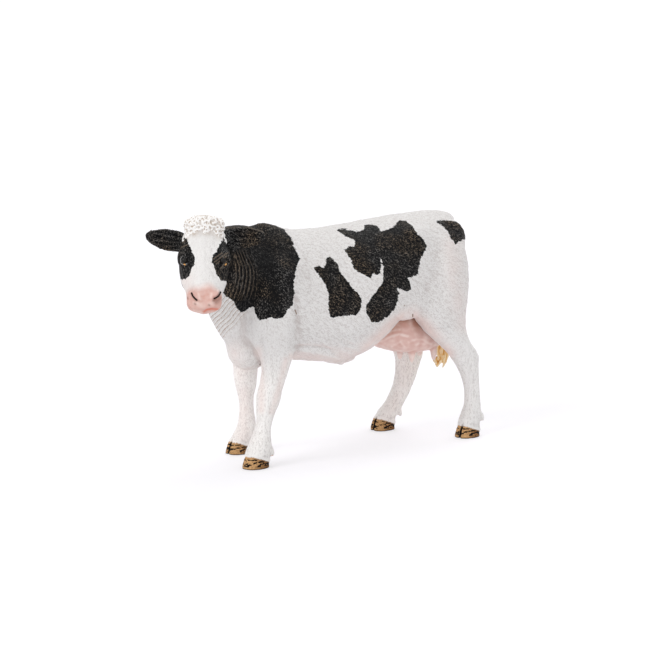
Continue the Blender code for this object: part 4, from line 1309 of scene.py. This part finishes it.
def makeEar(node):
    ear = denseCopy(node, ears)
    points, normals = placesOf(ear), normalsOf(ear)
    course, width, opening, along, aside = earShares(points)
    inner = smoothStep(0.2, 0.7, normals @ opening) * smoothStep(0.12, 0.3, along)
    outer = smoothStep(0.0, 0.6, -(normals @ opening))
    move = -ears["cup"] * (1 - aside ** 2) * smoothStep(0.98, 0.7, along) * inner
    folds = np.sin(aside * (1.2 - 0.4 * along) * math.pi * ears["folds"])
    move += ears["fold"] * folds * inner * smoothStep(1.0, 0.75, along)
    move += ears["hair"] * grain(points, course, 0.8, 4, 2.2) * np.maximum(outer, 0.45)
    fringe = smoothStep(0.80, 0.97, np.abs(aside)) * smoothStep(0.25, 0.45, along)
    fringe = np.maximum(fringe, smoothStep(0.93, 1.0, along))
    move += ears["fringe"] * grain(points, opening, 0.7, 5, 9.2) * fringe
    points = points + normals * move[:, None]
    if node == "ear_left":
        points[:, 2] -= ears["droop"] * along
    else:
        up, right = ears["tuftReach"]
        tuft = strokes(*pixelsOf(points), ears["tuft"])[:, None]
        points = points + (upward * up + rightward * right) * tuft
    setPlaces(ear, np.clip(points, lowCorner, highCorner))
    # painted highlight: the rim paint lies where the ear's edge faces up, and at its tip
    upper = np.sign(width[2]) * aside
    tipped = smoothStep(0.55, 0.85, normals @ course) * smoothStep(-0.3, 0.2, upper)
    rim = np.maximum(smoothStep(0.60, 0.88, normals[:, 2]) * smoothStep(0.0, 0.4, upper), tipped)
    far = dict.fromkeys(("blackPatch", "aboveCoronet", "nostrilGap", "browGap", "eyeGap"), ears["far"])
    setAttributes(ear, hanging=0.0, hollow=-0.2, crevice=creviceOf(ear, 2, normals),
                  rim=rim * smoothStep(0.15, 0.6, along) * ears["rimShare"][node], **far)
    finishPiece(ear, node + "_coat", [node], coatMaterial)


for node in ("ear_left", "ear_right"):
    makeEar(node)
print("ears made")

# Forelock: curls of wool on the poll, drawn as small rings that sink into one another
forelock = {
    "ring": 0.46,
    "strand": 0.36,
    "apart": 0.88,
    "sink": 0.14,
    "thinSink": 1.2,
    "lean": (15, 65),
    "size": (0.8, 1.25),
    "squeeze": (0.75, 1),
    "voxel": 0.15,
    "quickVoxel": 0.25,
    "seed": 11,
}


def makeForelockMaterial():
    material, tree, shader = newMaterial("forelockWool")
    mottle = noiseOf(objectPlace(tree), 1500)
    groove = times(maths("POWER", brushed(mottle, Grooves=0.9)["Groove"], 1.6), 0.9)
    deep = times(ramped(attribute(tree, "sunk"), 0.15, -0.30), 0.9)
    colour = blended(maths("MAXIMUM", groove, deep), paint["woolWhite"], paint["forelockShade"])
    wire(shader, {"Base Color": colour, "Roughness": 0.6, "Normal": bumped(mottle, 0.4, 0.00008)})
    return material


def forelockSpots():  # places of the curls, no two nearer than a set distance
    order = list(forelockRoots)
    random.Random(forelock["seed"]).shuffle(order)
    spots = []
    for place, normal, depth in order:
        if all((place - other).length > forelock["apart"] for other, *_ in spots):
            spots.append((place, normal, depth))
    return spots


def makeCurl(first, place, normal, depth, chance):
    ring = newObject("curl", first.data.copy())
    lean = Matrix.Rotation(math.radians(chance.uniform(*forelock["lean"])), 4, "X")
    turn = Matrix.Rotation(chance.uniform(0, math.tau), 4, "Z")
    size = chance.uniform(*forelock["size"])
    stand = normal.to_track_quat("Z", "Y").to_matrix().to_4x4()
    squeezed = size * chance.uniform(*forelock["squeeze"])
    ring.data.transform(stand @ turn @ lean @ Matrix.Diagonal((size, squeezed, size, 1)))
    highest = max(vertex.co.z for vertex in ring.data.vertices) / mm
    root = place - normal * (forelock["sink"] + forelock["thinSink"] * (1 - depth))
    root.z = min(root.z, highCorner[2] - highest - 0.02)
    ring.data.transform(Matrix.Translation(root * mm))
    return ring


def makeForelock():
    chance = random.Random(forelock["seed"] + 1)
    spots = forelockSpots()
    bpy.ops.mesh.primitive_torus_add(major_radius=forelock["ring"] * mm, minor_radius=forelock["strand"] * mm,
                                     major_segments=14, minor_segments=7, location=(0, 0, 0))
    first = bpy.context.object
    rings = [makeCurl(first, *spot, chance) for spot in spots]
    bpy.data.objects.remove(first)
    wool = remeshed(joined(rings, "wool"), forelock)
    setPlaces(wool, relaxed(placesOf(wool), edgesOf(wool), 2))
    places = [Vector(point) for point in placesOf(wool).tolist()]
    nearest = [headSurface.find_nearest(place) for place in places]
    sunk = [(place - spot[0]).dot(spot[1]) for place, spot in zip(places, nearest)]
    setAttributes(wool, sunk=np.array(sunk), crevice=creviceOf(wool, 2, normalsOf(wool)))
    finishPiece(wool, "forelock", [], makeForelockMaterial())


makeForelock()
print("forelock made")

# Tail: a haired cord and the locks of its switch
tail = {
    "voxel": 0.22,
    "quickVoxel": 0.4,
    "hair": 0.10,
    "cordEnds": 10.5,
    "whiteFrom": (10.5, 14.5),
    "blackFrom": (44.4, 44.8),
    "locks": 11,
    "lockLength": 12.4,
    "lockWidth": 1.35,
    "lockTip": 0.6,
    "switchWidth": 2.7,
    "switchAside": 1.3,
    "seed": 5,
}


def makeTailMaterial():
    material, tree, shader = newMaterial("tailHair")
    fromEnd = attribute(tree, "fromEnd")
    hair = hairs(objectPlace(tree), 0.0, Stretch=7.0)
    brush = brushed(hair["Strands"], Grooves=1.0)
    colour = blended(times(brush["Groove"], 0.8), paint["switch"], paint["switchGroove"])
    colour = blended(times(brush["Ridge"], 0.75), colour, paint["switchRidge"])
    white = blended(times(brush["Groove"], 0.7), paint["white"], paint["whiteGroove"])
    colour = blended(ramped(fromEnd, *tail["whiteFrom"]), colour, white)
    ragged = times(minus(hair["Tufts"], 0.5), 3.0)
    dark = blended(times(brush["Ridge"], 0.6), paint["black"], paint["blackRidge"])
    colour = blended(ramped(plus(fromEnd, ragged), *tail["blackFrom"]), colour, dark)
    wire(shader, {"Base Color": colour, "Roughness": 0.58, "Normal": bumped(hair["Strands"], 0.8, 0.00015)})
    return material


def tailEnd():
    points = np.array([vertex.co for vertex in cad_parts["tail"].data.vertices]) / mm
    low = points[:, 2].min()
    around = points[points[:, 2] < low + 8]
    return Vector((*((around.min(axis=0) + around.max(axis=0))[:2] / 2), low))


def makeLock(end, turn, chance):
    bpy.ops.mesh.primitive_cone_add(vertices=10, radius1=tail["lockTip"] * mm, radius2=tail["lockWidth"] * mm,
                                    depth=tail["lockLength"] * mm, location=(0, 0, 0))
    lock = bpy.context.object
    editWhole(lock, bpy.ops.mesh.subdivide, number_cuts=7)
    points = placesOf(lock)
    share = (points[:, 2] + tail["lockLength"] / 2) / tail["lockLength"]
    reach = tail["switchWidth"] * np.sin(math.pi * (0.10 + 0.88 * share)) ** 0.7 * chance.uniform(0.7, 1.05)
    wave = 0.7 * np.sin(share * 11 + chance.uniform(0, 6)) * (1.15 - share)
    swing = turn + 0.9 * share
    slim = np.sin(math.pi * (0.15 + 0.75 * share))
    points[:, 0] = points[:, 0] * slim + np.cos(swing) * reach - np.sin(swing) * wave + end.x
    points[:, 1] = points[:, 1] * slim + np.sin(swing) * reach + np.cos(swing) * wave + end.y
    points[:, 1] += tail["switchAside"] * smoothStep(1.0, 0.5, share)
    points[:, 2] += tail["lockLength"] / 2 + end.z + chance.uniform(0.1, 2.2)
    setPlaces(lock, points)
    return lock


def makeTail():
    chance = random.Random(tail["seed"])
    end = tailEnd()
    cord = copyOfNode("tail", "cord")
    applied(cord, "SUBSURF", levels=1, render_levels=1)
    editWhole(cord, bpy.ops.mesh.bisect, plane_co=(0, 0, (end.z + tail["cordEnds"]) * mm), plane_no=(0, 0, 1),
              use_fill=True, clear_inner=True)
    locks = [makeLock(end, math.tau * k / tail["locks"], chance) for k in range(tail["locks"])]
    cord = largestPart(remeshed(joined([cord, *locks], "cord"), tail))
    points = relaxed(placesOf(cord), edgesOf(cord), 3)
    setPlaces(cord, points)
    normals = normalsOf(cord)
    points = points + normals * (tail["hair"] * grain(points, (0, 0, 1), 0.75, 6, 3.7))[:, None]
    setPlaces(cord, np.clip(points, lowCorner, highCorner))
    setAttributes(cord, fromEnd=points[:, 2] - end.z, crevice=creviceOf(cord, 2, normals))
    finishPiece(cord, "tail_switch", ["tail"], makeTailMaterial())


makeTail()
print("tail made")

# Floor, backdrop and lamps. Lamps: sideways, upwards and towards the camera, width in degrees, strength
studio = {
    "floorSize": 8.0,
    "floor": (0.88, 0.88, 0.90),
    "shadowTint": (0.47, 0.46, 0.49),
    "glow": 0.535,
    "world": 0.66,
    "lampsAimAt": (0, 0, 0.04),
    "lamps": {
        "keyLamp": ((-0.75, 0.65, 0.70), 28, 1.10),
        "fillLamp": ((0.55, 0.10, 0.90), 50, 0.46),
        "backLamp": ((0.25, 0.90, -0.50), 45, 1.05),
    },
}


def whiteToCamera(tree):  # 1 for what the camera sees, also in gloss and through glass
    path = addNode(tree, "ShaderNodeLightPath", {}).outputs
    seen = maths("MAXIMUM", path["Is Camera Ray"], path["Is Glossy Ray"])
    return maths("MAXIMUM", seen, path["Is Transmission Ray"])


def makeFloor():
    bpy.ops.mesh.primitive_plane_add(size=studio["floorSize"], location=(0, 0, 0))
    floor = bpy.context.object
    floor.name = "studioFloor"
    material, tree, shader = newMaterial("floorPaper")
    tree.nodes.remove(shader)
    plain, shaded = (addNode(tree, "ShaderNodeBsdfDiffuse", {"Color": (*studio[name], 1)}).outputs[0]
                     for name in ("floor", "shadowTint"))
    glow = addNode(tree, "ShaderNodeEmission", {"Color": (1, 1, 1, 1), "Strength": studio["glow"]}).outputs[0]
    bright = addNode(tree, "ShaderNodeAddShader", {0: shaded, 1: glow}).outputs[0]
    mix = addNode(tree, "ShaderNodeMixShader", {0: whiteToCamera(tree), 1: plain, 2: bright}).outputs[0]
    wire(tree.nodes["Material Output"], {"Surface": mix})
    floor.data.materials.append(material)


def makeWorld():
    world = bpy.data.worlds.new("studio")
    bpy.context.scene.world = world
    world.use_nodes = True
    tree = world.node_tree
    strength = plus(times(whiteToCamera(tree), 1 - studio["world"]), studio["world"])
    wire(tree.nodes["Background"], {"Color": (1, 1, 1, 1), "Strength": strength})


def makeLamps():
    for name, ((aside, aloft, near), width, strength) in studio["lamps"].items():
        place = Vector(rightward) * aside + Vector((0, 0, 1)) * aloft + Vector(toCamera) * near
        bpy.ops.object.light_add(type="SUN", location=place)
        lamp = bpy.context.object
        lamp.name = name
        lamp.data.angle = math.radians(width)
        lamp.data.energy = strength
        lamp.rotation_mode = "QUATERNION"
        lamp.rotation_quaternion = (Vector(studio["lampsAimAt"]) - place).to_track_quat("-Z", "Y")


makeFloor()
makeWorld()
makeLamps()
bpy.context.scene.view_settings.view_transform = "Standard"
print("studio made")
